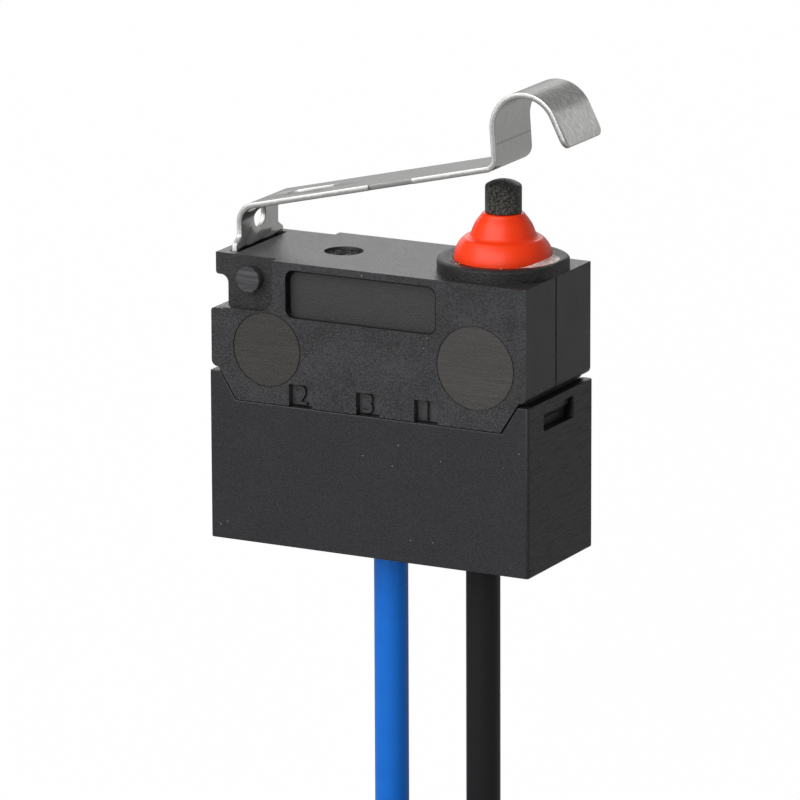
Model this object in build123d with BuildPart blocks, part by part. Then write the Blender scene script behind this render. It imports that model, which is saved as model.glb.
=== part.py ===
"""Sealed miniature snap-action switch with a roller-shaped leaf lever and two lead wires.

Millimetres. X runs along the switch, Y from the front face to the rear mounting face, Z up.
The origin is the middle of the terminal cup's rear wall, which lies flat on the panel.
"""

from build123d import *
import math
import os

# Play between pieces that fit into each other, where no other gap is given
fit_gap = 0.03

# Terminal cup, the lower sleeve
length = 13.3
depth = 5.3
seam_height = 5.4
cup_post_height = 1.05
cup_end_wall = 0.35
cup_long_wall = 0.45
cup_post_width = 0.45
seam_half_length = 5.55
cup_corner_radius = 0.12
window_width = 2.4
window_height = 0.82
window_drop = 0.1

# Case, two moulded halves above the cup
case_length = 13.1
case_height = 5.48
cover_depth = 2.5
case_wall = 0.75
case_top_wall = 0.78
case_end_wall = 0.8
case_hinge_wall = 1.25
plug_depth = 1.1
floor_height = 0.8
shoulder_gap = 0.16
seam_gap = 0.03
slant_gap = 0.05
plug_gap = 0.05
shoulder_radius = 0.25
parting_line_width = 0.1
parting_line_depth = 0.12
hook_reach = 0.16
hook_root = 0.1
hook_height = 0.6
pin_radius = 0.25
pin_length = 0.8
pin_level = 2.5

# Hinge end of the case: thinner block, side notch, small boss
hinge_zone_length = 2.6
hinge_recess = 0.4
hinge_ledge = 3.5
hinge_corner_radius = 0.6
notch_depth = 0.52
notch_low = 3.45
notch_high = 4.65
notch_inner_radius = 0.3
notch_outer_radius = 0.12
boss_x = -5.0
boss_level = 4.66
boss_radius = 0.48

# Marks on the faces
label_width = 6.28
label_height = 1.83
label_x = -0.27
label_level = 4.3
label_radius = 0.35
label_depth = 0.35
number_places = (-2.8, 0.02, 2.44)
number_width = 0.97
number_height = 0.88
number_depth = 0.32
disc_line = 0.05
left_disc_x = -4.2
left_disc_level = 2.08
left_disc_radius = 1.43
right_disc_x = 4.48
right_disc_level = 2.34
right_disc_radius = 1.6
vent_x = -2.36
vent_radius = 0.74
vent_seal_height = 0.4

# Plunger, boot and collar
plunger_inset = 2.26
plunger_radius = 0.5
plunger_cap_radius = 0.68
plunger_cap_side = 0.95
plunger_dome = 0.28
plunger_travel = 1.2
guide_clearance = 0.05
flange_radius = 1.0
flange_height = 0.45
flange_stop_gap = 0.08
nose_reach = 1.35
nose_width = 0.6
nose_gap = 1.13
nose_root = 0.9
tip_radius = 0.42
tip_length = 1.2
collar_radius = 2.46
collar_edge = 0.08
collar_height = 0.5
boot_flange_radius = 2.1
boot_flange_height = 0.25
boot_skirt_radius = 1.82
boot_height = 2.15
boot_wall = 0.3
skirt_lean = 0.03
skirt_bulge_inset = 0.13
skirt_bulge_height = 0.97
ledge_inset = 0.39
ledge_height = 1.31
ledge_rise = 0.04
bell_radius = 1.18
bell_bulge = 0.09
bell_lip = 0.06
bell_overlap = 0.08
sealant_width = 0.2
sealant_rise = 0.12

# Lever, one strip of spring steel
strip = 0.22
lever_width = 2.9
lever_inset = 0.54
lever_rise = 13.4
elbow_radius = 0.57
heel_x = 4.54
heel_radius = 0.31
riser_lean = 94.0
riser_length = 1.08
roller_radius = 1.4
roller_turn = 157.0
tail_length = 1.24
tail_corner_radius = 0.35
free_gap = 0.49
lever_root_depth = 0.62
lever_pivot_depth = 0.35
ear_width = 3.6
ear_height = 0.57
ear_radius = 0.22
root_hole_radius = 0.43
root_hole_height = 0.97
arm_slot_x = -3.7
arm_slot_length = 2.1
arm_slot_width = 0.95
tab_x = 0.33
tab_length = 1.8
tab_depth = 0.06
slot_gap = 0.06
slot_swing = 0.08

# Contact mechanism inside
terminal_thick = 0.25
terminal_width = 0.9
open_terminal_width = 0.6
terminal_gap = 0.02
tail_end = 1.6
tail_straight = 1.6
tail_bend_gap = 0.4
knife_chamfer = 0.11
blade_thick = 0.15
blade_width = 1.4
blade_left = -3.65
blade_right = 3.05
blade_height = 2.32
blade_corner_radius = 0.3
knife_x = 1.9
knife_gap = 0.02
contact_x = -3.2
contact_radius = 0.42
contact_head = 0.25
shank_radius = 0.18
contact_open_gap = 0.51
blade_window_length = 1.2
blade_window_width = 0.8
return_spring_radius = 0.75
return_spring_wire = 0.09
return_spring_turns = 3
snap_spring_length = 1.15
snap_spring_width = 0.6
snap_spring_thick = 0.06
snap_spring_sag = 0.5
snap_gap = 0.1

# Lead wires
wire_diameter = 1.3
conductor_radius = 0.35
blue_wire_x = -0.43
black_wire_x = 3.44
conductor_top = 3.0
insulation_top = 1.0
potting_recess = 0.15
solder_radius = 0.52
solder_film = 0.03
solder_low = 1.9
solder_high = 2.8
hank_drop = 16.75
hank_run = 15.7
hank_turn_radius = 4.1
hank_lanes = 3
lane_pitch = 1.35
wire_end_length = 4.0
bare_end_length = 3.0
tie_width = 1.6
tie_thick = 0.2

# Levels and places that follow from the sizes above
mid_y = -depth / 2
parting_depth = depth - cover_depth
cup_end_height = seam_height + cup_post_height
window_sill = seam_height - window_drop
cup_base = -seam_height / 2
seam = seam_height / 2
case_top = seam + case_height
case_half = case_length / 2
shoulder = cup_base + cup_end_height + shoulder_gap
plug_base = seam - plug_depth
cavity_floor = seam + floor_height
cavity_top = case_top - case_top_wall
cavity_left = -case_half + case_hinge_wall
cavity_right = case_half - case_end_wall
cup_inner_half = length / 2 - cup_end_wall
plunger_x = case_half - plunger_inset
cap_base = case_top + boot_height + fit_gap
plunger_top = cap_base + plunger_cap_side + plunger_dome
flange_top = cavity_top - flange_stop_gap
flange_base = flange_top - flange_height
lever_x = -case_half + lever_inset
pivot_z = case_top - lever_pivot_depth
blade_base = seam + blade_height
closed_x, _, common_x = number_places
open_x = blue_wire_x + conductor_radius + solder_film + terminal_thick / 2
wire_radius = wire_diameter / 2

front_plane = Plane.XZ.offset(depth)
middle_plane = Plane.XZ.offset(depth / 2)
parting_plane = Plane.XZ.offset(parting_depth)
rear_plane = Plane.XZ


def round_corner(x, z, radius):
    """Round the corner of the sketch being drawn that lies at x, z."""
    here = [v for v in vertices() if abs(v.X - x) < 0.001 and abs(v.Y - z) < 0.001]
    fillet(here, radius)


def case_outline():
    """Front view of the case above the cup: slanted lower corners and the notch at the hinge end."""
    post_inner = length / 2 - cup_post_width
    slant = (post_inner - seam_half_length) / cup_post_height
    low_half = seam_half_length - slant_gap
    slant_half = low_half + slant * (shoulder - seam)
    case_base = seam + seam_gap
    inner = -case_half + notch_depth
    with BuildSketch(parting_plane) as outline:
        with BuildLine():
            Polyline(
                (-case_half, case_top),
                (case_half, case_top),
                (case_half, shoulder),
                (slant_half, shoulder),
                (low_half, case_base),
                (-low_half, case_base),
                (-slant_half, shoulder),
                (-case_half, shoulder),
                (-case_half, seam + notch_low),
                (inner, seam + notch_low),
                (inner, seam + notch_high),
                (-case_half, seam + notch_high),
                close=True,
            )
        make_face()
        round_corner(case_half, shoulder, shoulder_radius)
        round_corner(-case_half, shoulder, shoulder_radius)
        round_corner(inner, seam + notch_high, notch_inner_radius)
        round_corner(-case_half, seam + notch_high, notch_outer_radius)
        round_corner(-case_half, seam + notch_low, notch_outer_radius)
    return outline.sketch


def block_outline(left, right, low, high):
    """A rectangle on the parting plane, given by its sides."""
    with BuildSketch(parting_plane) as outline:
        with Locations(((left + right) / 2, (low + high) / 2)):
            Rectangle(right - left, high - low)
    return outline.sketch


def hook_outlines():
    """Snap hooks on both ends of the plug, under the top edge of the cup's windows."""
    inner = cup_inner_half - plug_gap - hook_root
    outer = cup_inner_half + hook_reach
    top = cup_base + window_sill + window_height - plug_gap
    with BuildSketch(parting_plane) as outline:
        for side in (1, -1):
            with BuildLine():
                Polyline(
                    (side * inner, top),
                    (side * outer, top),
                    (side * outer, top - hook_height / 3),
                    (side * inner, top - hook_height),
                    close=True,
                )
            make_face()
    return outline.sketch


def top_holes():
    """The vent hole and the plunger's guide."""
    with BuildSketch(Plane.XY.offset(cavity_top)) as outline:
        with Locations((vent_x, mid_y)):
            Circle(vent_radius)
        with Locations((plunger_x, mid_y)):
            Circle(plunger_radius + guide_clearance)
    return outline.sketch


def root_slot():
    """The slot in the case's top that holds the lever's root."""
    slot_left = lever_x - strip / 2 - slot_gap
    slot_right = lever_x + strip / 2 + slot_gap + slot_swing
    with BuildSketch(Plane.XY.offset(case_top)) as outline:
        with Locations(((slot_left + slot_right) / 2, mid_y)):
            Rectangle(slot_right - slot_left, ear_width + 2 * slot_gap)
    return outline.sketch


def terminal_slots():
    """Slots through the case floor for the three terminals."""
    with BuildSketch(Plane.XY.offset(plug_base)) as outline:
        for x, width in (
            (closed_x, terminal_width),
            (open_x, open_terminal_width),
            (common_x, terminal_width),
        ):
            with Locations((x, mid_y)):
                Rectangle(terminal_thick + 2 * terminal_gap, width + 2 * terminal_gap)
    return outline.sketch


def hinge_zone(face_plane):
    """Front view of the thinner block that carries the lever."""
    zone_end = -case_half + hinge_zone_length
    ledge = seam + hinge_ledge
    with BuildSketch(face_plane) as outline:
        with BuildLine():
            Polyline(
                (-case_half - 1, ledge),
                (zone_end, ledge),
                (zone_end, case_top + 1),
                (-case_half - 1, case_top + 1),
                close=True,
            )
        make_face()
        round_corner(zone_end, ledge, hinge_corner_radius)
    return outline.sketch


def half_blank(reach):
    """One case half without its own marks, from the parting plane to the front if reach is positive."""
    side = math.copysign(1, reach)
    plug_half = cup_inner_half - plug_gap
    extrude(case_outline(), amount=reach)
    extrude(
        block_outline(-plug_half, plug_half, plug_base, shoulder),
        amount=reach - side * (cup_long_wall + plug_gap),
    )
    extrude(hook_outlines(), amount=side * (window_width / 2 - plug_gap))
    extrude(
        block_outline(cavity_left, cavity_right, cavity_floor, cavity_top),
        amount=reach - side * case_wall,
        mode=Mode.SUBTRACT,
    )
    extrude(top_holes(), amount=case_top_wall, mode=Mode.SUBTRACT)
    extrude(root_slot(), amount=-(lever_root_depth + slot_gap), mode=Mode.SUBTRACT)
    extrude(terminal_slots(), amount=cavity_floor - plug_base, mode=Mode.SUBTRACT)


# Terminal cup: a sleeve with windows in its ends and long walls cut down to the seam
with BuildPart() as terminal_cup:
    with BuildSketch(Plane.XY.offset(cup_base)):
        with Locations((0, mid_y)):
            RectangleRounded(length, depth, cup_corner_radius)
    extrude(amount=cup_end_height)
    with BuildSketch(Plane.XY.offset(cup_base)):
        with Locations((0, mid_y)):
            Rectangle(2 * cup_inner_half, depth - 2 * cup_long_wall)
    extrude(amount=cup_end_height, mode=Mode.SUBTRACT)
    with BuildSketch(front_plane):
        post_inner = length / 2 - cup_post_width
        with BuildLine():
            Polyline(
                (-seam_half_length, seam),
                (seam_half_length, seam),
                (post_inner, cup_base + cup_end_height),
                (-post_inner, cup_base + cup_end_height),
                close=True,
            )
        make_face()
    extrude(amount=-depth, mode=Mode.SUBTRACT)
    with BuildSketch(Plane.YZ.offset(-length / 2)):
        with Locations((-parting_depth, cup_base + window_sill + window_height / 2)):
            Rectangle(window_width, window_height)
    extrude(amount=length, mode=Mode.SUBTRACT)
terminal_cup.part.label = "terminal_cup"

# Rear half of the case, with sockets for the cover's locating pins
pin_places = (
    (cavity_left - case_hinge_wall / 2, seam + pin_level),
    (cavity_right + case_end_wall / 2, seam + pin_level),
)
with BuildPart() as rear_case:
    half_blank(-parting_depth)
    extrude(hinge_zone(rear_plane), amount=hinge_recess, mode=Mode.SUBTRACT)
    with BuildSketch(parting_plane):
        with Locations(*pin_places):
            Circle(pin_radius + fit_gap)
    extrude(amount=-(pin_length + fit_gap), mode=Mode.SUBTRACT)
rear_case.part.label = "rear_case"

# Front cover: blank label recess, number pockets, a boss by the hinge, hairlines round two flush discs,
# and a shadow line down both ends where the halves meet
with BuildPart() as front_cover:
    half_blank(cover_depth)
    extrude(hinge_zone(front_plane), amount=-hinge_recess, mode=Mode.SUBTRACT)
    with BuildSketch(front_plane.offset(-hinge_recess)):
        with Locations((boss_x, seam + boss_level)):
            Circle(boss_radius)
    extrude(amount=hinge_recess)
    with BuildSketch(front_plane):
        with Locations((label_x, seam + label_level)):
            RectangleRounded(label_width, label_height, label_radius)
    extrude(amount=-label_depth, mode=Mode.SUBTRACT)
    with BuildSketch(front_plane):
        for x in number_places:
            with Locations((x, seam + number_height / 2)):
                Rectangle(number_width, number_height)
    extrude(amount=-number_depth, mode=Mode.SUBTRACT)
    with BuildSketch(front_plane):
        for x, level, radius in (
            (left_disc_x, left_disc_level, left_disc_radius),
            (right_disc_x, right_disc_level, right_disc_radius),
        ):
            with Locations((x, seam + level)):
                Circle(radius)
                Circle(radius - disc_line, mode=Mode.SUBTRACT)
    extrude(amount=-disc_line, mode=Mode.SUBTRACT)
    with BuildSketch(parting_plane):
        for side in (1, -1):
            with Locations((side * (case_half - parting_line_depth / 2), (shoulder + case_top) / 2)):
                Rectangle(parting_line_depth, case_top - shoulder)
    extrude(amount=parting_line_width, mode=Mode.SUBTRACT)
    with BuildSketch(parting_plane):
        with Locations(*pin_places):
            Circle(pin_radius)
    extrude(amount=-pin_length)
front_cover.part.label = "front_cover"

# Adhesive that closes the vent hole, sunk below the top
with BuildPart() as vent_seal:
    with BuildSketch(Plane.XY.offset(cavity_top)):
        with Locations((vent_x, mid_y)):
            Circle(vent_radius)
    extrude(amount=vent_seal_height)
vent_seal.part.label = "vent_seal"

# Collar that holds the boot's flange down, with a flat where the case ends
with BuildPart() as boot_collar:
    with BuildSketch(Plane.XY.offset(case_top)):
        with Locations((plunger_x, mid_y)):
            Circle(collar_radius)
        with Locations((case_half + collar_radius, mid_y)):
            Rectangle(2 * collar_radius, 2 * collar_radius, mode=Mode.SUBTRACT)
    extrude(amount=collar_height)
    chamfer(boot_collar.faces().sort_by(Axis.Z)[-1].edges(), collar_edge)
    with BuildSketch(Plane.XY.offset(case_top)):
        with Locations((plunger_x, mid_y)):
            Circle(boot_flange_radius + fit_gap)
    extrude(amount=boot_flange_height + fit_gap, mode=Mode.SUBTRACT)
    with BuildSketch(Plane.XY.offset(case_top)):
        with Locations((plunger_x, mid_y)):
            Circle(boot_skirt_radius + fit_gap)
    extrude(amount=collar_height, mode=Mode.SUBTRACT)
boot_collar.part.label = "boot_collar"

# Rubber boot: clamped flange, skirt, rounded ledge and a bell up to the plunger's cap
boot_hole = plunger_radius + fit_gap
axis_plane = Plane(origin=(plunger_x, mid_y, case_top), x_dir=(1, 0, 0), z_dir=(0, -1, 0))
with BuildPart() as rubber_boot:
    mouth_radius = plunger_cap_radius + bell_overlap
    with BuildSketch(axis_plane):
        with BuildLine():
            skirt = Line((boot_skirt_radius, boot_flange_height), (boot_skirt_radius - skirt_lean, collar_height))
            ledge = ThreePointArc(
                skirt @ 1,
                (boot_skirt_radius - skirt_bulge_inset, skirt_bulge_height),
                (boot_skirt_radius - ledge_inset, ledge_height),
            )
            step = Line(ledge @ 1, (bell_radius, ledge_height + ledge_rise))
            bell = ThreePointArc(
                step @ 1,
                ((bell_radius + mouth_radius) / 2 + bell_bulge, (ledge_height + boot_height) / 2),
                (mouth_radius, boot_height - bell_lip),
            )
            Polyline(
                bell @ 1,
                (mouth_radius - bell_lip, boot_height),
                (boot_hole, boot_height),
                (boot_hole, boot_height - boot_wall),
                (bell_radius - boot_wall, ledge_height - boot_wall),
                (boot_skirt_radius - boot_wall, skirt_bulge_height - boot_wall),
                (boot_skirt_radius - boot_wall, 0),
                (boot_flange_radius, 0),
                (boot_flange_radius, boot_flange_height),
                skirt @ 0,
            )
        make_face()
    revolve(axis=Axis((plunger_x, mid_y, case_top), (0, 0, 1)))
rubber_boot.part.label = "rubber_boot"

# Bead of sealant in the corner between the boot and the collar
bead_inner = boot_skirt_radius + fit_gap
with BuildPart() as boot_sealant:
    with BuildSketch(axis_plane):
        with BuildLine():
            Polyline(
                (bead_inner, collar_height),
                (bead_inner + sealant_width, collar_height),
                (bead_inner, collar_height + sealant_rise),
                close=True,
            )
        make_face()
    revolve(axis=Axis((plunger_x, mid_y, case_top), (0, 0, 1)))
boot_sealant.part.label = "boot_sealant"

# Plunger: domed cap, stem, stop flange with a nose for the blade, and a tip inside the spring
with BuildPart() as plunger:
    plunger_plane = Plane(origin=(plunger_x, mid_y, 0), x_dir=(1, 0, 0), z_dir=(0, -1, 0))
    cap_edge = cap_base + plunger_cap_side
    dome_radius = (plunger_cap_radius**2 + plunger_dome**2) / (2 * plunger_dome)
    dome_center = plunger_top - dome_radius
    with BuildSketch(plunger_plane):
        with BuildLine():
            Polyline(
                (0, flange_base - tip_length),
                (tip_radius, flange_base - tip_length),
                (tip_radius, flange_base),
                (flange_radius, flange_base),
                (flange_radius, flange_top),
                (plunger_radius, flange_top),
                (plunger_radius, cap_base),
                (plunger_cap_radius, cap_base),
                (plunger_cap_radius, cap_edge),
            )
            dome = ThreePointArc(
                (plunger_cap_radius, cap_edge),
                (plunger_cap_radius / 2, dome_center + math.sqrt(dome_radius**2 - plunger_cap_radius**2 / 4)),
                (0, plunger_top),
            )
            Line(dome @ 1, (0, flange_base - tip_length))
        make_face()
    revolve(axis=Axis((plunger_x, mid_y, 0), (0, 0, 1)))
    nose_base = blade_base + blade_thick + nose_gap
    with BuildSketch(Plane.XY.offset(nose_base)):
        with Locations((plunger_x - (nose_reach + nose_root) / 2, mid_y)):
            Rectangle(nose_reach - nose_root, nose_width)
    extrude(amount=flange_top - nose_base)
plunger.part.label = "plunger"

# Lever: the strip's outer face is drawn from its root in the case to the end of the roller shape
rise = math.radians(lever_rise)
elbow_turn = 90 - lever_rise
heel_turn = riser_lean - lever_rise
outer_x = lever_x - strip / 2
arm_level = plunger_top + free_gap + strip / math.cos(rise)
corner_level = arm_level - (plunger_x - outer_x) * math.tan(rise)
elbow_reach = elbow_radius * math.tan(math.radians(elbow_turn / 2))
heel_reach = heel_radius * math.tan(math.radians(heel_turn / 2))
arm_length = (heel_x - outer_x) / math.cos(rise) - elbow_reach - heel_reach
with BuildPart() as actuator_lever:
    with BuildSketch(middle_plane):
        with BuildLine():
            root = Line((outer_x, case_top - lever_root_depth), (outer_x, corner_level - elbow_reach))
            elbow = JernArc(root @ 1, root % 1, elbow_radius, -elbow_turn)
            arm = PolarLine(elbow @ 1, arm_length, lever_rise)
            heel = JernArc(arm @ 1, arm % 1, heel_radius, heel_turn)
            riser = PolarLine(heel @ 1, riser_length, riser_lean)
            roller = JernArc(riser @ 1, riser % 1, roller_radius, -roller_turn)
            tail = PolarLine(roller @ 1, tail_length, riser_lean - roller_turn)
            offset(amount=strip, side=Side.RIGHT)
        make_face()
    extrude(amount=lever_width / 2, both=True)
    tail_corners = actuator_lever.edges().filter_by(
        lambda e: e.geom_type == GeomType.LINE
        and abs(e.length - strip) < 0.001
        and e.center().X > plunger_x + 2 * roller_radius
    )
    fillet(tail_corners, tail_corner_radius)
    with BuildSketch(Plane.YZ.offset(lever_x - strip / 2)):
        ear_base = case_top - lever_root_depth
        with Locations((mid_y, (ear_base + case_top + ear_height) / 2)):
            Rectangle(ear_width, case_top + ear_height - ear_base)
        round_corner(mid_y + ear_width / 2, case_top + ear_height, ear_radius)
        round_corner(mid_y - ear_width / 2, case_top + ear_height, ear_radius)
    extrude(amount=strip)
    with BuildSketch(Plane.YZ.offset(lever_x)):
        with Locations((mid_y, case_top + root_hole_height)):
            Circle(root_hole_radius)
    extrude(amount=strip, both=True, mode=Mode.SUBTRACT)
    with BuildSketch(Plane.XY.offset(case_top + 1)):
        with Locations((arm_slot_x, mid_y)):
            SlotOverall(arm_slot_length, arm_slot_width)
        with Locations((tab_x, mid_y - lever_width / 2)):
            Rectangle(tab_length, 2 * tab_depth)
    extrude(amount=arm_level - case_top, mode=Mode.SUBTRACT)
actuator_lever.part.label = "actuator_lever"


def bent_strip(points, width):
    """A strip of terminal stock that follows the points in front view, as wide as given along Y."""
    with BuildSketch(middle_plane) as outline:
        with BuildLine() as path:
            Polyline(*points)
        trace(path.line, line_width=terminal_thick)
    extrude(outline.sketch, amount=width / 2, both=True)


# Terminals: bent strips that come up through the case floor
tail_z = cup_base + tail_end
finger_closed = blade_base - contact_head - knife_gap - contact_head - terminal_thick / 2
finger_open = blade_base + blade_thick + contact_head + contact_open_gap + contact_head + terminal_thick / 2
knife_top = blade_base - knife_gap
common_tail_x = black_wire_x - conductor_radius - solder_film - terminal_thick / 2
base_line = cavity_floor + terminal_thick / 2

with BuildPart() as normally_closed_terminal:
    bent_strip(
        [(closed_x, tail_z), (closed_x, finger_closed), (contact_x - contact_radius, finger_closed)],
        terminal_width,
    )
    with BuildSketch(Plane.XY.offset(finger_closed)):
        with Locations((contact_x, mid_y)):
            Circle(shank_radius)
    extrude(amount=terminal_thick, both=True, mode=Mode.SUBTRACT)
normally_closed_terminal.part.label = "normally_closed_terminal"

with BuildPart() as normally_open_terminal:
    bent_strip(
        [(open_x, tail_z), (open_x, finger_open), (contact_x - contact_radius, finger_open)],
        open_terminal_width,
    )
    with BuildSketch(Plane.XY.offset(finger_open)):
        with Locations((contact_x, mid_y)):
            Circle(shank_radius)
    extrude(amount=terminal_thick, both=True, mode=Mode.SUBTRACT)
normally_open_terminal.part.label = "normally_open_terminal"

with BuildPart() as common_terminal:
    bent_strip(
        [
            (common_tail_x, tail_z),
            (common_tail_x, tail_z + tail_straight),
            (common_x, plug_base - tail_bend_gap),
            (common_x, base_line),
            (knife_x, base_line),
            (knife_x, knife_top),
        ],
        terminal_width,
    )
    knife_edges = common_terminal.faces().sort_by(Axis.Z)[-1].edges().filter_by(Axis.Y)
    chamfer(knife_edges, knife_chamfer)
common_terminal.part.label = "common_terminal"


def upright(x, y, low, high, radius):
    """A round bar along Z from low to high."""
    with BuildSketch(Plane.XY.offset(low)) as outline:
        with Locations((x, y)):
            Circle(radius)
    extrude(outline.sketch, amount=high - low)


def contact_rivet(face_z, head_up):
    """A fixed contact: a head on the strip's face and a shank through the strip."""
    upright(contact_x, mid_y, face_z, face_z + head_up * contact_head, contact_radius)
    upright(contact_x, mid_y, face_z, face_z - head_up * terminal_thick, shank_radius)


with BuildPart() as normally_closed_contact:
    contact_rivet(finger_closed + terminal_thick / 2, 1)
normally_closed_contact.part.label = "normally_closed_contact"

with BuildPart() as normally_open_contact:
    contact_rivet(finger_open - terminal_thick / 2, -1)
normally_open_contact.part.label = "normally_open_contact"

# Contact blade: rocks on the common terminal's edge, with a window for the open terminal
with BuildPart() as contact_blade:
    with BuildSketch(Plane.XY.offset(blade_base)):
        with Locations(((blade_left + blade_right) / 2, mid_y)):
            RectangleRounded(blade_right - blade_left, blade_width, blade_corner_radius)
        with Locations((open_x, mid_y)):
            Rectangle(blade_window_length, blade_window_width, mode=Mode.SUBTRACT)
        with Locations((contact_x, mid_y)):
            Circle(shank_radius, mode=Mode.SUBTRACT)
    extrude(amount=blade_thick)
contact_blade.part.label = "contact_blade"

with BuildPart() as moving_contact:
    blade_top = blade_base + blade_thick
    upright(contact_x, mid_y, blade_base - contact_head, blade_base, contact_radius)
    upright(contact_x, mid_y, blade_base, blade_top, shank_radius)
    upright(contact_x, mid_y, blade_top, blade_top + contact_head, contact_radius)
moving_contact.part.label = "moving_contact"

# Return spring between the case floor and the plunger's flange, wound from square wire
spring_height = flange_base - cavity_floor - 2 * (return_spring_wire + fit_gap)
spring_start = (plunger_x, mid_y, cavity_floor + return_spring_wire + fit_gap)
with BuildPart() as return_spring:
    with BuildLine():
        coil = Helix(
            pitch=spring_height / return_spring_turns,
            height=spring_height,
            radius=return_spring_radius,
            center=spring_start,
        )
    with BuildSketch(Plane(origin=coil @ 0, z_dir=coil % 0)):
        Rectangle(2 * return_spring_wire, 2 * return_spring_wire)
    sweep(is_frenet=True)
return_spring.part.label = "return_spring"

# Snap spring: a bowed strip under the blade, between its window and the common terminal
snap_end_x = knife_x - terminal_thick / 2 - snap_gap
with BuildPart() as snap_spring:
    with BuildSketch(middle_plane):
        with BuildLine():
            bow = ThreePointArc(
                (snap_end_x - snap_spring_length, blade_base - fit_gap),
                (snap_end_x - snap_spring_length / 2, blade_base - fit_gap - snap_spring_sag),
                (snap_end_x, blade_base - fit_gap - snap_spring_thick),
            )
            offset(amount=snap_spring_thick, side=Side.RIGHT)
        make_face()
    extrude(amount=snap_spring_width / 2, both=True)
snap_spring.part.label = "snap_spring"


# Stripped conductors, their solder, and the insulated leads down to their hanks
with BuildPart() as blue_conductor:
    upright(blue_wire_x, mid_y, cup_base + insulation_top, cup_base + conductor_top, conductor_radius)
blue_conductor.part.label = "blue_conductor"

with BuildPart() as black_conductor:
    upright(black_wire_x, mid_y, cup_base + insulation_top, cup_base + conductor_top, conductor_radius)
black_conductor.part.label = "black_conductor"

with BuildPart() as open_solder_joint:
    upright(blue_wire_x, mid_y, cup_base + solder_low, cup_base + solder_high, solder_radius)
    add(blue_conductor.part, mode=Mode.SUBTRACT)
    add(normally_open_terminal.part, mode=Mode.SUBTRACT)
open_solder_joint.part.label = "open_solder_joint"

with BuildPart() as common_solder_joint:
    upright(black_wire_x, mid_y, cup_base + solder_low, cup_base + solder_high, solder_radius)
    add(black_conductor.part, mode=Mode.SUBTRACT)
    add(common_terminal.part, mode=Mode.SUBTRACT)
common_solder_joint.part.label = "common_solder_joint"

hank_top = cup_base - hank_drop
with BuildPart() as blue_wire:
    upright(blue_wire_x, mid_y, hank_top, cup_base + insulation_top, wire_radius)
blue_wire.part.label = "blue_wire"

with BuildPart() as black_wire:
    upright(black_wire_x, mid_y, hank_top, cup_base + insulation_top, wire_radius)
black_wire.part.label = "black_wire"

# Potting that fills the cup round the terminal tails and the leads
with BuildPart() as potting_compound:
    with BuildSketch(Plane.XY.offset(cup_base + potting_recess)):
        with Locations((0, mid_y)):
            Rectangle(2 * cup_inner_half, depth - 2 * cup_long_wall)
    extrude(amount=plug_base - cup_base - potting_recess)
    for inside in (
        common_terminal,
        normally_closed_terminal,
        normally_open_terminal,
        blue_conductor,
        black_conductor,
        open_solder_joint,
        common_solder_joint,
        blue_wire,
        black_wire,
    ):
        add(inside.part, mode=Mode.SUBTRACT)
potting_compound.part.label = "potting_compound"


def hank(first_x, side):
    """Outer shape of a folded lead: turns side by side along X, hanging in the plane of Y and Z.

    The lead comes down into the first lane and leaves the last one, so both are open there.
    """
    last_x = first_x + side * (hank_lanes - 1) * lane_pitch
    thick = abs(last_x - first_x) + wire_diameter
    outer_width = 2 * (hank_turn_radius + wire_radius)
    lane_room = 2 * (wire_radius + fit_gap)
    with BuildSketch(Plane.YZ.offset(first_x - side * wire_radius)) as ring:
        with Locations((mid_y - hank_turn_radius, hank_top - hank_run / 2)):
            SlotCenterToCenter(hank_run, outer_width, rotation=90)
            SlotCenterToCenter(hank_run, outer_width - 2 * wire_diameter, rotation=90, mode=Mode.SUBTRACT)
    extrude(ring.sketch, amount=side * thick)
    for lane_x, level, way in ((first_x, hank_top, 1), (last_x, hank_top - hank_run, -1)):
        with BuildSketch(Plane.XY.offset(level)) as lane:
            with Locations((lane_x, mid_y)):
                Rectangle(lane_pitch, lane_room)
        extrude(lane.sketch, amount=way * hank_turn_radius, mode=Mode.SUBTRACT)


def hank_tie(first_x, side):
    """A band round the middle of a hank."""
    thick = (hank_lanes - 1) * lane_pitch + wire_diameter + 2 * fit_gap
    middle_x = first_x + side * (hank_lanes - 1) * lane_pitch / 2
    width = 2 * (hank_turn_radius + wire_radius + fit_gap)
    with BuildSketch(Plane.XY.offset(hank_top - hank_run / 2 - tie_width / 2)) as band:
        with Locations((middle_x, mid_y - hank_turn_radius)):
            Rectangle(thick + 2 * tie_thick, width + 2 * tie_thick)
            Rectangle(thick, width, mode=Mode.SUBTRACT)
    extrude(band.sketch, amount=tie_width)


# The blue hank steps to the left, the black one to the right, and each ends in a tinned end
blue_end_x = blue_wire_x - (hank_lanes - 1) * lane_pitch
black_end_x = black_wire_x + (hank_lanes - 1) * lane_pitch
hank_low = hank_top - hank_run
wire_end_z = hank_low - wire_end_length

with BuildPart() as blue_wire_hank:
    hank(blue_wire_x, -1)
blue_wire_hank.part.label = "blue_wire_hank"

with BuildPart() as black_wire_hank:
    hank(black_wire_x, 1)
black_wire_hank.part.label = "black_wire_hank"

with BuildPart() as blue_hank_tie:
    hank_tie(blue_wire_x, -1)
blue_hank_tie.part.label = "blue_hank_tie"

with BuildPart() as black_hank_tie:
    hank_tie(black_wire_x, 1)
black_hank_tie.part.label = "black_hank_tie"

with BuildPart() as blue_wire_end:
    upright(blue_end_x, mid_y, wire_end_z, hank_low, wire_radius)
blue_wire_end.part.label = "blue_wire_end"

with BuildPart() as black_wire_end:
    upright(black_end_x, mid_y, wire_end_z, hank_low, wire_radius)
black_wire_end.part.label = "black_wire_end"

with BuildPart() as blue_bare_end:
    upright(blue_end_x, mid_y, wire_end_z - bare_end_length, wire_end_z, conductor_radius)
blue_bare_end.part.label = "blue_bare_end"

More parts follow.
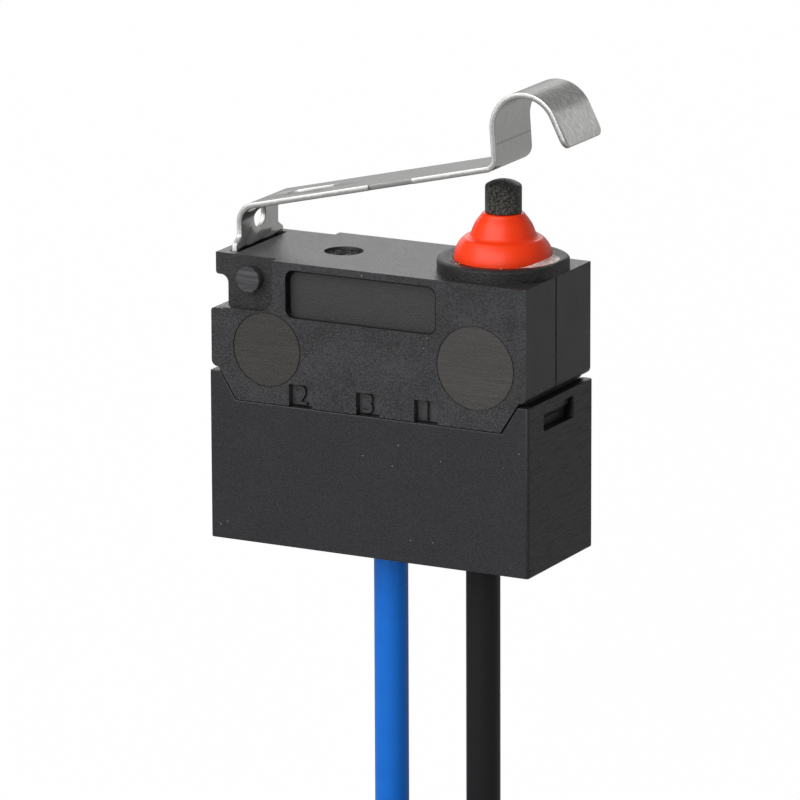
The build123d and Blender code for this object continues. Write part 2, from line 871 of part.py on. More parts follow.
with BuildPart() as black_bare_end:
    upright(black_end_x, mid_y, wire_end_z - bare_end_length, wire_end_z, conductor_radius)
black_bare_end.part.label = "black_bare_end"

os.makedirs("parts", exist_ok=True)
pieces = [
    terminal_cup,
    rear_case,
    front_cover,
    vent_seal,
    boot_collar,
    rubber_boot,
    boot_sealant,
    plunger,
    actuator_lever,
    normally_closed_terminal,
    normally_open_terminal,
    common_terminal,
    normally_closed_contact,
    normally_open_contact,
    contact_blade,
    moving_contact,
    return_spring,
    snap_spring,
    blue_conductor,
    black_conductor,
    open_solder_joint,
    common_solder_joint,
    potting_compound,
    blue_wire,
    black_wire,
    blue_wire_hank,
    black_wire_hank,
    blue_hank_tie,
    black_hank_tie,
    blue_wire_end,
    black_wire_end,
    blue_bare_end,
    black_bare_end,
]
for piece in pieces:
    export_step(piece.part, f"parts/{piece.part.label}.step")

print("lever pivot", lever_x, mid_y, pivot_z)
print("plunger axis", plunger_x, mid_y, "travel", plunger_travel)
print("blade pivot", knife_x, mid_y, blade_base)
print("boot and spring fixed ends", case_top, cavity_floor)
print("wire exits", blue_wire_x, black_wire_x, cup_base + potting_recess)
print("hank turn radius", hank_turn_radius)
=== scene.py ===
"""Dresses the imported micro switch: eased mouldings, strip lever, rubber boot, leads, finishes and studio.

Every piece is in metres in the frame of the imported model. Sizes written here are in millimetres.
"""

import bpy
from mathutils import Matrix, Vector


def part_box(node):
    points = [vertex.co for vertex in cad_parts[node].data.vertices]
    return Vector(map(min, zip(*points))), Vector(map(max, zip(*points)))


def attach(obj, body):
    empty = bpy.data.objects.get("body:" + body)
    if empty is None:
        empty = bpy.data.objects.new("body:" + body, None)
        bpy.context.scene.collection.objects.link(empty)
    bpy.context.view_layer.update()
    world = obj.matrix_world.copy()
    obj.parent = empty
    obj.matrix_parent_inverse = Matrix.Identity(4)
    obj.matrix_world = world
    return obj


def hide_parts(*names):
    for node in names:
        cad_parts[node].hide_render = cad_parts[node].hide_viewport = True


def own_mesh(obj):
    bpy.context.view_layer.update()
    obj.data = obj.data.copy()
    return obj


bl_info = {
    "name": "Micro Switch Dressing",
    "version": (1, 0, 0),
    "blender": (4, 5, 0),
    "location": "View3D > Sidebar > Switch",
    "description": "Builds the visible pieces, finishes and studio of a sealed micro switch",
    "category": "Object",
}

import math
import random

import bmesh
import bpy
from mathutils import Matrix, Vector

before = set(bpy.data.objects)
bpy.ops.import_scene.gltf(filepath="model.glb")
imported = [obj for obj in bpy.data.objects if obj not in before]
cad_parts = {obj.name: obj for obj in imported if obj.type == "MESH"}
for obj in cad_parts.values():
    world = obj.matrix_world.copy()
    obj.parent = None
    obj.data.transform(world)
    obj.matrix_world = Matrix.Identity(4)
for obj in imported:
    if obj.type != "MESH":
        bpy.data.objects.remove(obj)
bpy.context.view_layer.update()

MM = 0.001

# Places shared by the pieces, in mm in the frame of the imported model
MID_Y = -2.65
CASE_TOP = 8.18
CASE_END = 6.55
PLUNGER_X = 4.29
LEVER_X = -6.01
# The cover's flush discs as centre and radius
DISCS = (((-4.2, 4.78), 1.43), ((4.48, 5.04), 1.6))


def linear(hex_colour):
    """An sRGB hex value as the linear colour that Blender's sockets and properties hold."""
    channels = [int(hex_colour[i : i + 2], 16) / 255 for i in (1, 3, 5)]
    return tuple(c / 12.92 if c <= 0.04045 else ((c + 0.055) / 1.055) ** 2.4 for c in channels) + (1.0,)


def length_property(name, description, default):
    """A size in millimetres that the user may change."""
    return bpy.props.FloatProperty(name=name, description=description, default=default, precision=3, min=0.0)


def colour_property(name, description, hex_colour):
    """A colour that the user may change, given as an sRGB hex value."""
    return bpy.props.FloatVectorProperty(
        name=name, description=description, subtype="COLOR", size=4, min=0.0, max=1.0, default=linear(hex_colour)
    )


class SwitchSizes(bpy.types.PropertyGroup):
    """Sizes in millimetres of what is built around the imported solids."""

    edge_ease: length_property("Edge ease", "Radius of the mouldings' outer edges, in mm", 0.05)
    strip_ease: length_property("Strip ease", "Rounding of the strip's sheared edges, in mm", 0.035)
    wire: length_property("Lead diameter", "Outer diameter of a lead wire, in mm", 1.3)
    lead_length: length_property("Lead length", "Real length of each lead wire, in mm", 150.0)
    strand: length_property("Strand diameter", "Diameter of one tinned strand, in mm", 0.22)
    relief: length_property("Number relief", "How far the raised numbers stand up, in mm", 0.12)


class SwitchColours(bpy.types.PropertyGroup):
    """Colours of the switch's materials."""

    case: colour_property("Case", "Moulded case halves", "#2f2f31")
    cup: colour_property("Cup", "Moulded terminal cup", "#252427")
    collar: colour_property("Collar", "Moulded collar", "#1a1a1a")
    plunger: colour_property("Plunger", "Moulded plunger", "#3a3c38")
    boot: colour_property("Boot", "Silicone boot", "#ff3d0e")
    steel: colour_property("Steel", "Rolled stainless strip", "#d3d3d1")
    blue: colour_property("Blue lead", "Blue wire insulation", "#0a66c4")
    black: colour_property("Black lead", "Black wire insulation", "#1a1a1a")


def fill_inputs(tree, node, inputs):
    """Fills a node's inputs: a socket or a node's first output in use is linked, and the rest are plain values."""
    for name, value in inputs.items():
        if isinstance(value, bpy.types.Node):
            value = next(output for output in value.outputs if output.enabled)
        if isinstance(value, bpy.types.NodeSocket):
            tree.links.new(value, node.inputs[name])
        else:
            node.inputs[name].default_value = value


def add_node(tree, kind, inputs=None, **settings):
    """Adds a shader node, sets its properties, and fills or links its inputs."""
    node = tree.nodes.new("ShaderNode" + kind)
    for name, value in settings.items():
        setattr(node, name, value)
    fill_inputs(tree, node, inputs or {})
    return node


def start_material(name):
    """A material with its shader, and a coordinate fixed to the object and counted in millimetres."""
    material = bpy.data.materials.new(name)
    material.use_nodes = True
    tree = material.node_tree
    tree.nodes.clear()
    shader = add_node(tree, "BsdfPrincipled")
    add_node(tree, "OutputMaterial", {"Surface": shader})
    place = add_node(tree, "TexCoord")
    mm = add_node(tree, "VectorMath", {0: place.outputs["Object"], 1: (1 / MM,) * 3}, operation="MULTIPLY")
    return material, tree, shader, mm


def tinted(colour, factor):
    """A colour made lighter or darker by a factor."""
    return tuple(min(1.0, c * factor) for c in colour[:3]) + (1.0,)


def moulded_plastic(name, colour, grain, relief, roughness, grit):
    """Glass-filled PBT moulded in a spark-eroded tool: black with a fine matt grain and a few specks of dust.

    The grain and its depth are in millimetres, and coarser than the real 0.02 mm, which wouldn't show.
    Grit is how far the grain and clouds lighten and darken the colour.
    """
    material, tree, shader, mm = start_material(name)
    fine = add_node(tree, "TexNoise", {"Vector": mm, "Scale": 1 / grain, "Detail": 3.0, "Roughness": 0.65})
    soft = add_node(tree, "TexNoise", {"Vector": mm, "Scale": 0.7, "Detail": 4.0, "Roughness": 0.6})
    clouds = add_node(tree, "Math", {0: soft, 1: 0.25}, operation="MULTIPLY")
    both = add_node(tree, "Math", {0: fine, 1: 0.75, 2: clouds}, operation="MULTIPLY_ADD")
    spread = add_node(tree, "MapRange", {"Value": both, "From Min": 0.43, "From Max": 0.57})
    tints = {6: tinted(colour, 1 - grit), 7: tinted(colour, 1 + grit)}
    speckled = add_node(tree, "Mix", {0: spread, **tints}, data_type="RGBA")
    dust = add_node(tree, "TexVoronoi", {"Vector": mm, "Scale": 1.4})
    dusty = add_node(tree, "Math", {0: dust, 1: 0.035}, operation="LESS_THAN")
    dusted = add_node(tree, "Mix", {0: dusty, 6: speckled, 7: linear("#727270")}, data_type="RGBA", label="dusted")
    span = {"From Min": 0.35, "From Max": 0.65, "To Min": roughness - 0.07, "To Max": roughness + 0.07}
    gloss = add_node(tree, "MapRange", {"Value": fine, **span})
    bump = add_node(tree, "Bump", {"Height": fine, "Distance": relief * MM}, label="grain")
    fill_inputs(tree, shader, {"Base Color": dusted, "Roughness": gloss, "Normal": bump})
    fill_inputs(tree, shader, {"IOR": 1.5, "Specular IOR Level": 0.36})
    return material


def parts_of(material):
    """A moulded plastic's tree, shader, base colour and grain bump, and its place in mm as vector and as axes."""
    tree = material.node_tree
    shader = next(n for n in tree.nodes if n.type == "BSDF_PRINCIPLED")
    base = next(n for n in tree.nodes if n.label == "dusted")
    bump = next(n for n in tree.nodes if n.label == "grain")
    mm = next(n for n in tree.nodes if n.type == "VECT_MATH")
    return tree, shader, base, bump, mm, add_node(tree, "SeparateXYZ", {0: mm})


def box_mask(tree, axes, limits):
    """One inside a box and nought outside it. The limits are axis, lowest and highest place in mm."""
    mask = 1.0
    for axis, low, high in limits:
        span = {0: axes.outputs[axis], 1: (low + high) / 2, 2: (high - low) / 2}
        near = add_node(tree, "Math", span, operation="COMPARE")
        mask = add_node(tree, "Math", {0: near, 1: mask}, operation="MULTIPLY")
    return mask


# Round places on the cover's face that are rubbed: centre, radius, dark and pale colour. The last is the boss
RUBBED_ROUNDS = (
    (*DISCS[0], "#312f2d", "#3c3a38"),
    (*DISCS[1], "#383635", "#454241"),
    ((-5.0, 7.36), 0.49, "#262628", "#5a5a5c"),
)
COVER_FACE = (("Y", -6.0, -5.2),)
HINGE_END = (("X", -7.0, -3.96), ("Y", -6.0, -4.8), ("Z", 6.22, 8.15))
# The cup's inside, painted near black as the shade seen through its windows
CUP_INSIDE_SHADE = (("X", -6.62, 6.62), ("Y", -4.95, -0.35))
# The number pockets' floors, painted lighter as light that lifts the shade of their walls
POCKET_FLOORS_PAINTED_LIGHT = (("X", -3.6, 3.2), ("Y", -4.99, -4.9), ("Z", 2.7, 3.6))
# The label recess: its walls painted near black as shade, with a painted shadow line round the floor, and the floor
# inside them with rounded corners, worked out as a distance
LABEL_WALLS_SHADE = (("X", -3.43, 2.89), ("Y", -5.27, -4.9), ("Z", 6.07, 7.93))
LABEL_SUNK = (("Y", -5.1, -4.9),)
LABEL_CORNER = 0.32
LABEL_FLOOR_STEPS = (
    ("SUBTRACT", (-0.36, 0.0, 6.9)),
    ("ABSOLUTE", (0.0, 0.0, 0.0)),
    ("SUBTRACT", (3.0 - LABEL_CORNER, 0.0, 0.87 - LABEL_CORNER)),
    ("MAXIMUM", (0.0, 0.0, 0.0)),
)


def cover_plastic(name, colour, grain, relief, roughness, grit):
    """The cover's PBT: flush discs rubbed pale and brownish, a smooth label floor and a coarser hinge end. The label
    recess's walls are painted near black as shade, and the pocket floors are painted lighter as light.
    """
    material = moulded_plastic(name, colour, grain, relief, roughness, grit)
    tree, shader, base, bump, mm, axes = parts_of(material)
    flat = add_node(tree, "VectorMath", {0: mm, 1: (1.0, 0.0, 1.0)}, operation="MULTIPLY")
    along_x = {"Rotation": (0.0, 0.25, 0.0), "Scale": (0.45, 0.5, 9.0)}
    hairs = add_node(tree, "Mapping", {"Vector": mm, **along_x})
    uneven = {"Scale": 1.0, "Detail": 5.0, "Roughness": 0.7, "Distortion": 0.5}
    hair = add_node(tree, "TexNoise", {"Vector": hairs, **uneven})
    lines = add_node(tree, "MapRange", {"Value": hair, "From Min": 0.35, "From Max": 0.75})
    face = box_mask(tree, axes, COVER_FACE)
    for centre, radius, dark, pale in RUBBED_ROUNDS:
        away = add_node(tree, "VectorMath", {0: flat, 1: (centre[0], 0.0, centre[1])}, operation="DISTANCE")
        inside = add_node(tree, "Math", {0: away, 1: radius}, operation="LESS_THAN")
        inside = add_node(tree, "Math", {0: inside, 1: face}, operation="MULTIPLY")
        rubbed = add_node(tree, "Mix", {0: lines, 6: linear(dark), 7: linear(pale)}, data_type="RGBA")
        base = add_node(tree, "Mix", {0: inside, 6: base, 7: rubbed}, data_type="RGBA")
    off = flat
    for operation, amount in LABEL_FLOOR_STEPS:
        off = add_node(tree, "VectorMath", {0: off, 1: amount}, operation=operation)
    reach = add_node(tree, "VectorMath", {0: off}, operation="LENGTH")
    rounded = add_node(tree, "Math", {0: reach, 1: LABEL_CORNER}, operation="LESS_THAN")
    label = add_node(tree, "Math", {0: rounded, 1: box_mask(tree, axes, LABEL_SUNK)}, operation="MULTIPLY")
    for mask, paint in (
        # The label recess's walls and the line round its floor, painted near black as shade
        (box_mask(tree, axes, LABEL_WALLS_SHADE), "#060606"),
        (label, "#343435"),
        # The pocket floors, painted lighter as light against their walls' shade
        (box_mask(tree, axes, POCKET_FLOORS_PAINTED_LIGHT), "#48484a"),
    ):
        base = add_node(tree, "Mix", {0: mask, 6: base, 7: linear(paint)}, data_type="RGBA")
    coarse = add_node(tree, "TexNoise", {"Vector": mm, "Scale": 15.0, "Detail": 4.0, "Roughness": 0.75})
    height = add_node(tree, "Math", {0: coarse, 1: box_mask(tree, axes, HINGE_END)}, operation="MULTIPLY")
    eroded = add_node(tree, "Bump", {"Height": height, "Distance": 0.05 * MM, "Normal": bump})
    fill_inputs(tree, shader, {"Base Color": base, "Normal": eroded})
    return material


def cup_plastic(name, colour, grain, relief, roughness, grit):
    """The cup's PBT, whose right end was sanded where the gate was cut: slanting parallel scratches. Its inside is
    painted near black as shade.
    """
    material = moulded_plastic(name, colour, grain, relief, roughness, grit)
    tree, shader, base, bump, mm, axes = parts_of(material)
    place = add_node(tree, "NewGeometry")
    facing = {0: place.outputs["Normal"], 1: (1.0, 0.0, 0.0)}
    facing = add_node(tree, "VectorMath", facing, operation="DOT_PRODUCT")
    end = add_node(tree, "Math", {0: facing, 1: 1.0, 2: 0.1}, operation="COMPARE")
    along_y = {"Rotation": (-0.12, 0.0, 0.0), "Scale": (0.2, 0.5, 9.0)}
    slant = add_node(tree, "Mapping", {"Vector": mm, **along_y})
    scratch = add_node(tree, "TexNoise", {"Vector": slant, "Scale": 1.6, "Detail": 5.0, "Roughness": 0.75})
    deep = add_node(tree, "MapRange", {"Value": scratch, "From Min": 0.36, "From Max": 0.48})
    height = add_node(tree, "Math", {0: deep, 1: end}, operation="MULTIPLY")
    scored = add_node(tree, "Bump", {"Height": height, "Distance": 0.02 * MM, "Normal": bump})
    gouged = add_node(tree, "Math", {0: 1.0, 1: deep}, operation="SUBTRACT")
    gouged = add_node(tree, "Math", {0: gouged, 1: end}, operation="MULTIPLY")
    # Dark scratches on the sanded end, and the cup's inside painted near black as shade
    for mask, paint in ((gouged, "#101010"), (box_mask(tree, axes, CUP_INSIDE_SHADE), "#080808")):
        base = add_node(tree, "Mix", {0: mask, 6: base, 7: linear(paint)}, data_type="RGBA")
    fill_inputs(tree, shader, {"Base Color": base, "Normal": scored})
    return material


def silicone_rubber(name, colour):
    """Red silicone pressed in a polished mould: soft gloss, a little light carried under the skin."""
    material, tree, shader, mm = start_material(name)
    soft = add_node(tree, "TexNoise", {"Vector": mm, "Scale": 1.2, "Detail": 3.0})
    tone = add_node(tree, "Mix", {0: soft, 6: tinted(colour, 0.9), 7: tinted(colour, 1.08)}, data_type="RGBA")
    skin = add_node(tree, "TexNoise", {"Vector": mm, "Scale": 9.0, "Detail": 3.0})
    bump = add_node(tree, "Bump", {"Height": skin, "Distance": 0.006 * MM, "Strength": 0.6})
    fill_inputs(tree, shader, {"Base Color": tone, "Normal": bump, "Roughness": 0.38, "IOR": 1.42})
    under_skin = {"Weight": 0.12, "Radius": (0.9, 0.3, 0.15), "Scale": 0.3 * MM}
    fill_inputs(tree, shader, {f"Subsurface {part}": value for part, value in under_skin.items()})
    return material


def clear_sealant(name):
    """A bead of clear silicone sealant, cured milky over the red boot."""
    material, tree, shader, mm = start_material(name)
    lumps = add_node(tree, "TexNoise", {"Vector": mm, "Scale": 5.0, "Detail": 5.0, "Roughness": 0.7})
    spread = add_node(tree, "MapRange", {"Value": lumps, "From Min": 0.4, "From Max": 0.6})
    bump = add_node(tree, "Bump", {"Height": lumps, "Distance": 0.08 * MM})
    tone = add_node(tree, "Mix", {0: spread, 6: linear("#e2a294"), 7: linear("#fdf6f2")}, data_type="RGBA")
    fill_inputs(tree, shader, {"Base Color": tone, "Normal": bump, "Roughness": 0.25, "IOR": 1.41})
    fill_inputs(tree, shader, {"Transmission Weight": 0.1})
    return material


# Places along the lever's strip, in mm from the start of the riser and of the roller, and where its edge is notched
# Where a crease's shade is painted as a dark line across the riser, from the riser's start
CREASE_SHADE_PLACE = 0.53
SCUFFS_START = 0.8
SCUFFS_FULL = 1.8
NOTCH = (-0.57, 1.23)


def rolled_steel(name, colour, roughness):
    """Stainless spring strip as rolled: fine streaks along the strip that soften what it mirrors.

    The roller's outside is scuffed with short flecks, and a dark line, painted as the shade of a crease, crosses the
    strip below the roller.
    Streaks and flecks are drawn coarser than the real ones of a few hundredths of a millimetre.
    """
    material, tree, shader, mm = start_material(name)
    strip = add_node(tree, "UVMap", uv_map="strip")
    axes = add_node(tree, "SeparateXYZ", {0: strip})
    runs = strip_route()
    riser_start, roller_start = runs[4][0], runs[5][0]
    long = add_node(tree, "Mapping", {"Vector": strip, "Scale": (1.2, 26.0, 1.0)})
    streak = add_node(tree, "TexNoise", {"Vector": long, "Scale": 1.0, "Detail": 6.0, "Roughness": 0.7})
    short = add_node(tree, "Mapping", {"Vector": strip, "Rotation": (0.0, 0.0, 0.12), "Scale": (3.2, 11.0, 1.0)})
    fleck = add_node(tree, "TexNoise", {"Vector": short, "Scale": 1.0, "Detail": 4.0, "Roughness": 0.65})
    span = {"From Min": roller_start + SCUFFS_START, "From Max": roller_start + SCUFFS_FULL, "To Max": 0.7}
    scuffed = add_node(tree, "MapRange", {"Value": axes.outputs["X"], **span})
    grain = add_node(tree, "Mix", {0: scuffed, 2: streak, 3: fleck})
    even = add_node(tree, "MapRange", {"Value": streak, "From Min": 0.1, "From Max": 0.6})
    strong = add_node(tree, "MapRange", {"Value": fleck, "From Min": 0.45, "From Max": 0.68})
    spread = add_node(tree, "Mix", {0: scuffed, 2: even, 3: strong})
    tone = add_node(tree, "Mix", {0: spread, 6: tinted(colour, 0.6), 7: tinted(colour, 1.16)}, data_type="RGBA")
    # A dark line painted across the riser as the shade of a crease
    off_crease = add_node(tree, "Math", {0: axes.outputs["X"], 1: riser_start + CREASE_SHADE_PLACE}, operation="SUBTRACT")
    off_crease = add_node(tree, "Math", {0: off_crease}, operation="ABSOLUTE")
    crease_shade = add_node(tree, "MapRange", {"Value": off_crease, "From Max": 0.06, "To Min": 0.45, "To Max": 0.0})
    crease_shaded = add_node(tree, "Mix", {0: crease_shade, 6: tone, 7: tinted(colour, 0.4)}, data_type="RGBA")
    gloss = add_node(tree, "MapRange", {"Value": grain, "To Min": roughness - 0.07, "To Max": roughness + 0.1})
    bump = add_node(tree, "Bump", {"Height": grain, "Distance": 0.004 * MM})
    fill_inputs(tree, shader, {"Base Color": crease_shaded, "Roughness": gloss, "Normal": bump, "Metallic": 1.0})
    return material


def sheared_steel(name, colour):
    """The strip's cut edge: a bright burnished band on the side where the punch entered, a dull torn one below."""
    material, tree, shader, mm = start_material(name)
    axes = add_node(tree, "SeparateXYZ", {0: add_node(tree, "UVMap", uv_map="edge")})
    tear = add_node(tree, "TexNoise", {"Vector": mm, "Scale": 5.0, "Detail": 3.0})
    wavy = add_node(tree, "Math", {0: tear, 1: -0.12, 2: axes.outputs["Y"]}, operation="MULTIPLY_ADD")
    burnished = add_node(tree, "MapRange", {"Value": wavy, "From Min": -0.07, "From Max": -0.03})
    grain = add_node(tree, "TexNoise", {"Vector": mm, "Scale": 16.0, "Detail": 3.0, "Roughness": 0.7})
    torn = add_node(tree, "Mix", {0: grain, 6: tinted(colour, 0.3), 7: tinted(colour, 0.9)}, data_type="RGBA")
    tone = add_node(tree, "Mix", {0: burnished, 6: torn, 7: colour[:]}, data_type="RGBA")
    sides = add_node(tree, "SeparateXYZ", {0: mm})
    notch = box_mask(tree, sides, (("X", *NOTCH), ("Y", -6.0, MID_Y)))
    tone = add_node(tree, "Mix", {0: notch, 6: tone, 7: tinted(colour, 0.45)}, data_type="RGBA")
    bump = add_node(tree, "Bump", {"Height": grain, "Distance": 0.008 * MM})
    fill_inputs(tree, shader, {"Base Color": tone, "Normal": bump, "Metallic": 1.0, "Roughness": 0.45})
    return material


def wire_insulation(name, colour):
    """Extruded PVC insulation: even colour, a soft sheen along the lead and faint unevenness from the die."""
    material, tree, shader, mm = start_material(name)
    waves = add_node(tree, "TexNoise", {"Vector": mm, "Scale": 1.5, "Detail": 3.0})
    tone = add_node(tree, "Mix", {0: waves, 6: tinted(colour, 0.92), 7: tinted(colour, 1.08)}, data_type="RGBA")
    skin = add_node(tree, "TexNoise", {"Vector": mm, "Scale": 8.0, "Detail": 2.0})
    bump = add_node(tree, "Bump", {"Height": skin, "Distance": 0.004 * MM})
    fill_inputs(tree, shader, {"Base Color": tone, "Normal": bump, "Roughness": 0.35})
    fill_inputs(tree, shader, {"IOR": 1.53, "Specular IOR Level": 0.2})
    return material


def plain_metal(name, colour, roughness, scale):
    """A stamped, drawn or plated metal of the inside: its colour with a faint grain."""
    material, tree, shader, mm = start_material(name)
    grain = add_node(tree, "TexNoise", {"Vector": mm, "Scale": scale, "Detail": 4.0})
    tone = add_node(tree, "Mix", {0: grain, 6: tinted(colour, 0.88), 7: tinted(colour, 1.1)}, data_type="RGBA")
    gloss = add_node(tree, "MapRange", {"Value": grain, "To Min": roughness - 0.06, "To Max": roughness + 0.06})
    fill_inputs(tree, shader, {"Base Color": tone, "Roughness": gloss, "Metallic": 1.0})
    return material


def cured_resin(name, colour, roughness, lump, relief):
    """Poured or dabbed epoxy: dark, glossy between its lumps. The lump size and relief are in millimetres."""
    material, tree, shader, mm = start_material(name)
    lumps = add_node(tree, "TexNoise", {"Vector": mm, "Scale": 1 / lump, "Detail": 4.0})
    tone = add_node(tree, "Mix", {0: lumps, 6: tinted(colour, 0.7), 7: tinted(colour, 1.4)}, data_type="RGBA")
    bump = add_node(tree, "Bump", {"Height": lumps, "Distance": relief * MM})
    fill_inputs(tree, shader, {"Base Color": tone, "Normal": bump, "Roughness": roughness, "IOR": 1.55})
    return material


MATERIALS = {}


def material(name):
    """One of the switch's materials, made when it is first asked for."""
    if name in MATERIALS:
        return MATERIALS[name]
    colours = bpy.context.scene.switch_colours
    makers = {
        "moulded_pbt_case": lambda n: moulded_plastic(n, colours.case, 0.06, 0.02, 0.36, 0.45),
        "moulded_pbt_cover": lambda n: cover_plastic(n, colours.case, 0.06, 0.02, 0.36, 0.42),
        "moulded_pbt_cup": lambda n: cup_plastic(n, colours.cup, 0.06, 0.01, 0.42, 0.15),
        "moulded_pbt_collar": lambda n: moulded_plastic(n, colours.collar, 0.07, 0.05, 0.42, 0.8),
        "moulded_pbt_plunger": lambda n: moulded_plastic(n, colours.plunger, 0.08, 0.09, 0.36, 0.97),
        "pressed_silicone_boot": lambda n: silicone_rubber(n, colours.boot),
        "cured_silicone_sealant": clear_sealant,
        "rolled_stainless_strip": lambda n: rolled_steel(n, colours.steel, 0.14),
        "sheared_stainless_edge": lambda n: sheared_steel(n, linear("#e4e4e2")),
        "extruded_pvc_blue": lambda n: wire_insulation(n, colours.blue),
        "extruded_pvc_black": lambda n: wire_insulation(n, colours.black),
        "stamped_brass": lambda n: plain_metal(n, linear("#c9a75c"), 0.3, 9.0),
        "riveted_silver": lambda n: plain_metal(n, linear("#dcdad2"), 0.22, 12.0),
        "stamped_beryllium_copper": lambda n: plain_metal(n, linear("#c98f5b"), 0.28, 9.0),
        "drawn_stainless_wire": lambda n: plain_metal(n, linear("#b9b9ba"), 0.25, 14.0),
        "tinned_copper_strand": lambda n: plain_metal(n, linear("#c4c4c0"), 0.3, 14.0),
        "tin_solder": lambda n: plain_metal(n, linear("#b4b4b0"), 0.2, 5.0),
        "poured_epoxy": lambda n: cured_resin(n, linear("#1a1a1b"), 0.25, 1.5, 0.03),
        "dabbed_epoxy": lambda n: cured_resin(n, linear("#2a2a2a"), 0.4, 0.16, 0.09),
        "moulded_nylon": lambda n: moulded_plastic(n, linear("#d8d6cd"), 0.1, 0.004, 0.4, 0.04),
    }
    MATERIALS[name] = makers[name](name)
    return MATERIALS[name]


def new_piece(name, mesh, *material_names):
    """A mesh object in the scene with its materials."""
    piece = bpy.data.objects.new(name, mesh)
    bpy.context.scene.collection.objects.link(piece)
    for material_name in material_names:
        mesh.materials.append(material(material_name))
    return piece


def settle(piece, body, slot, *replaced):
    """Puts a finished piece on its body and in place of the solids it stands for. The slot is not used."""
    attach(piece, body)
    if replaced:
        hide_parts(*replaced)
    return piece


def smooth_mesh(mesh, degrees=35.0):
    """Shades a mesh smooth, with sharp edges where faces turn by more than the angle."""
    mesh.polygons.foreach_set("use_smooth", [True] * len(mesh.polygons))
    mesh.set_sharp_from_angle(angle=math.radians(degrees))


def finished_mesh(bm, name, sharp_degrees=60.0):
    """The mesh of what was built in mm: outward faces, metres, smooth shading up to the angle."""
    bmesh.ops.recalc_face_normals(bm, faces=bm.faces)
    bmesh.ops.scale(bm, vec=(MM,) * 3, verts=bm.verts)
    mesh = bpy.data.meshes.new(name)
    bm.to_mesh(mesh)
    bm.free()
    smooth_mesh(mesh, sharp_degrees)
    return mesh


def on_disc_line(point):
    """Whether a point lies at the fine line round one of the cover's flush discs, which stays sharp."""
    flat = Vector((point.x, point.z))
    return point.y < -5.2 and any(abs((flat - Vector(centre)).length - r) < 0.12 for centre, r in DISCS)


def eased_copy(name, node, material_name, radius):
    """A solid's copy with its edges rounded by a radius in mm."""
    bm = bmesh.new()
    bm.from_mesh(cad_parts[node].data)
    bmesh.ops.scale(bm, vec=(1 / MM,) * 3, verts=bm.verts)
    bmesh.ops.remove_doubles(bm, verts=bm.verts, dist=0.0005)
    bmesh.ops.dissolve_limit(bm, angle_limit=math.radians(1.0), verts=bm.verts, edges=bm.edges)
    corner = math.radians(30)
    edges = [e for e in bm.edges if len(e.link_faces) == 2 and e.calc_face_angle(0.0) > corner]
    edges = [e for e in edges if not on_disc_line((e.verts[0].co + e.verts[1].co) / 2)]
    bmesh.ops.bevel(
        bm, geom=edges, offset=radius, offset_type="OFFSET", segments=2, profile=0.5, affect="EDGES", clamp_overlap=True
    )
    bmesh.ops.scale(bm, vec=(MM,) * 3, verts=bm.verts)
    mesh = bpy.data.meshes.new(name)
    bm.to_mesh(mesh)
    bm.free()
    if "custom_normal" in mesh.attributes:
        mesh.attributes.remove(mesh.attributes["custom_normal"])
    smooth_mesh(mesh, 40.0)
    piece = new_piece(name, mesh, material_name)
    piece.modifiers.new("even_shading", "WEIGHTED_NORMAL").keep_sharp = True
    return piece


def join_rings(bm, rings):
    """Adds the faces between each ring of points and the next."""
    for here, there in zip(rings, rings[1:]):
        for k in range(len(here)):
            after = (k + 1) % len(here)
            bm.faces.new((here[k], there[k], there[after], here[after]))


def tube_ring(bm, centre, across, up, radius, sides=10):
    """A ring of points round a centre, in the plane of two directions."""
    turns = [2 * math.pi * s / sides for s in range(sides)]
    return [bm.verts.new(centre + (across * math.cos(a) + up * math.sin(a)) * radius) for a in turns]


def about_plunger(angle, radius, height):
    """The place at an angle and radius about the plunger's axis."""
    return (PLUNGER_X + radius * math.cos(angle), MID_Y + radius * math.sin(angle), height)


def add_turned(bm, section, sides, place=about_plunger):
    """Adds a closed section of (radius, height) points, in mm, turned about the plunger's axis.

    place(angle, radius, height) gives each point's X, Y and Z. Points on the axis become one.
    """
    turns = [2 * math.pi * side / sides for side in range(sides)]
    rings = [[bm.verts.new(place(angle, *point)) for point in section] for angle in turns]
    join_rings(bm, rings + rings[:1])
    bmesh.ops.remove_doubles(bm, verts=bm.verts, dist=0.0001)


def swept(centre, arm, sweep, steps, first=0):
    """Where an arm about a centre points as it turns back through an angle in equal steps."""
    points = []
    for step in range(first, steps + 1):
        c, s = math.cos(-sweep * step / steps), math.sin(-sweep * step / steps)
        points.append((centre.x + arm.x * c - arm.y * s, centre.y + arm.x * s + arm.y * c))
    return points


def arc_through(start, middle, end, steps):
    """Points on the circle through three points of a section, without the first."""
    (ax, ay), (bx, by), (cx, cy) = start, middle, end
    d = 2 * (ax * (by - cy) + bx * (cy - ay) + cx * (ay - by))
    a2, b2, c2 = ax * ax + ay * ay, bx * bx + by * by, cx * cx + cy * cy
    centre_x = (a2 * (by - cy) + b2 * (cy - ay) + c2 * (ay - by)) / d
    centre = Vector((centre_x, (a2 * (cx - bx) + b2 * (ax - cx) + c2 * (bx - ax)) / d))
    arm = Vector(start) - centre
    return swept(centre, arm, arm.angle_signed(Vector(end) - centre), steps, 1)


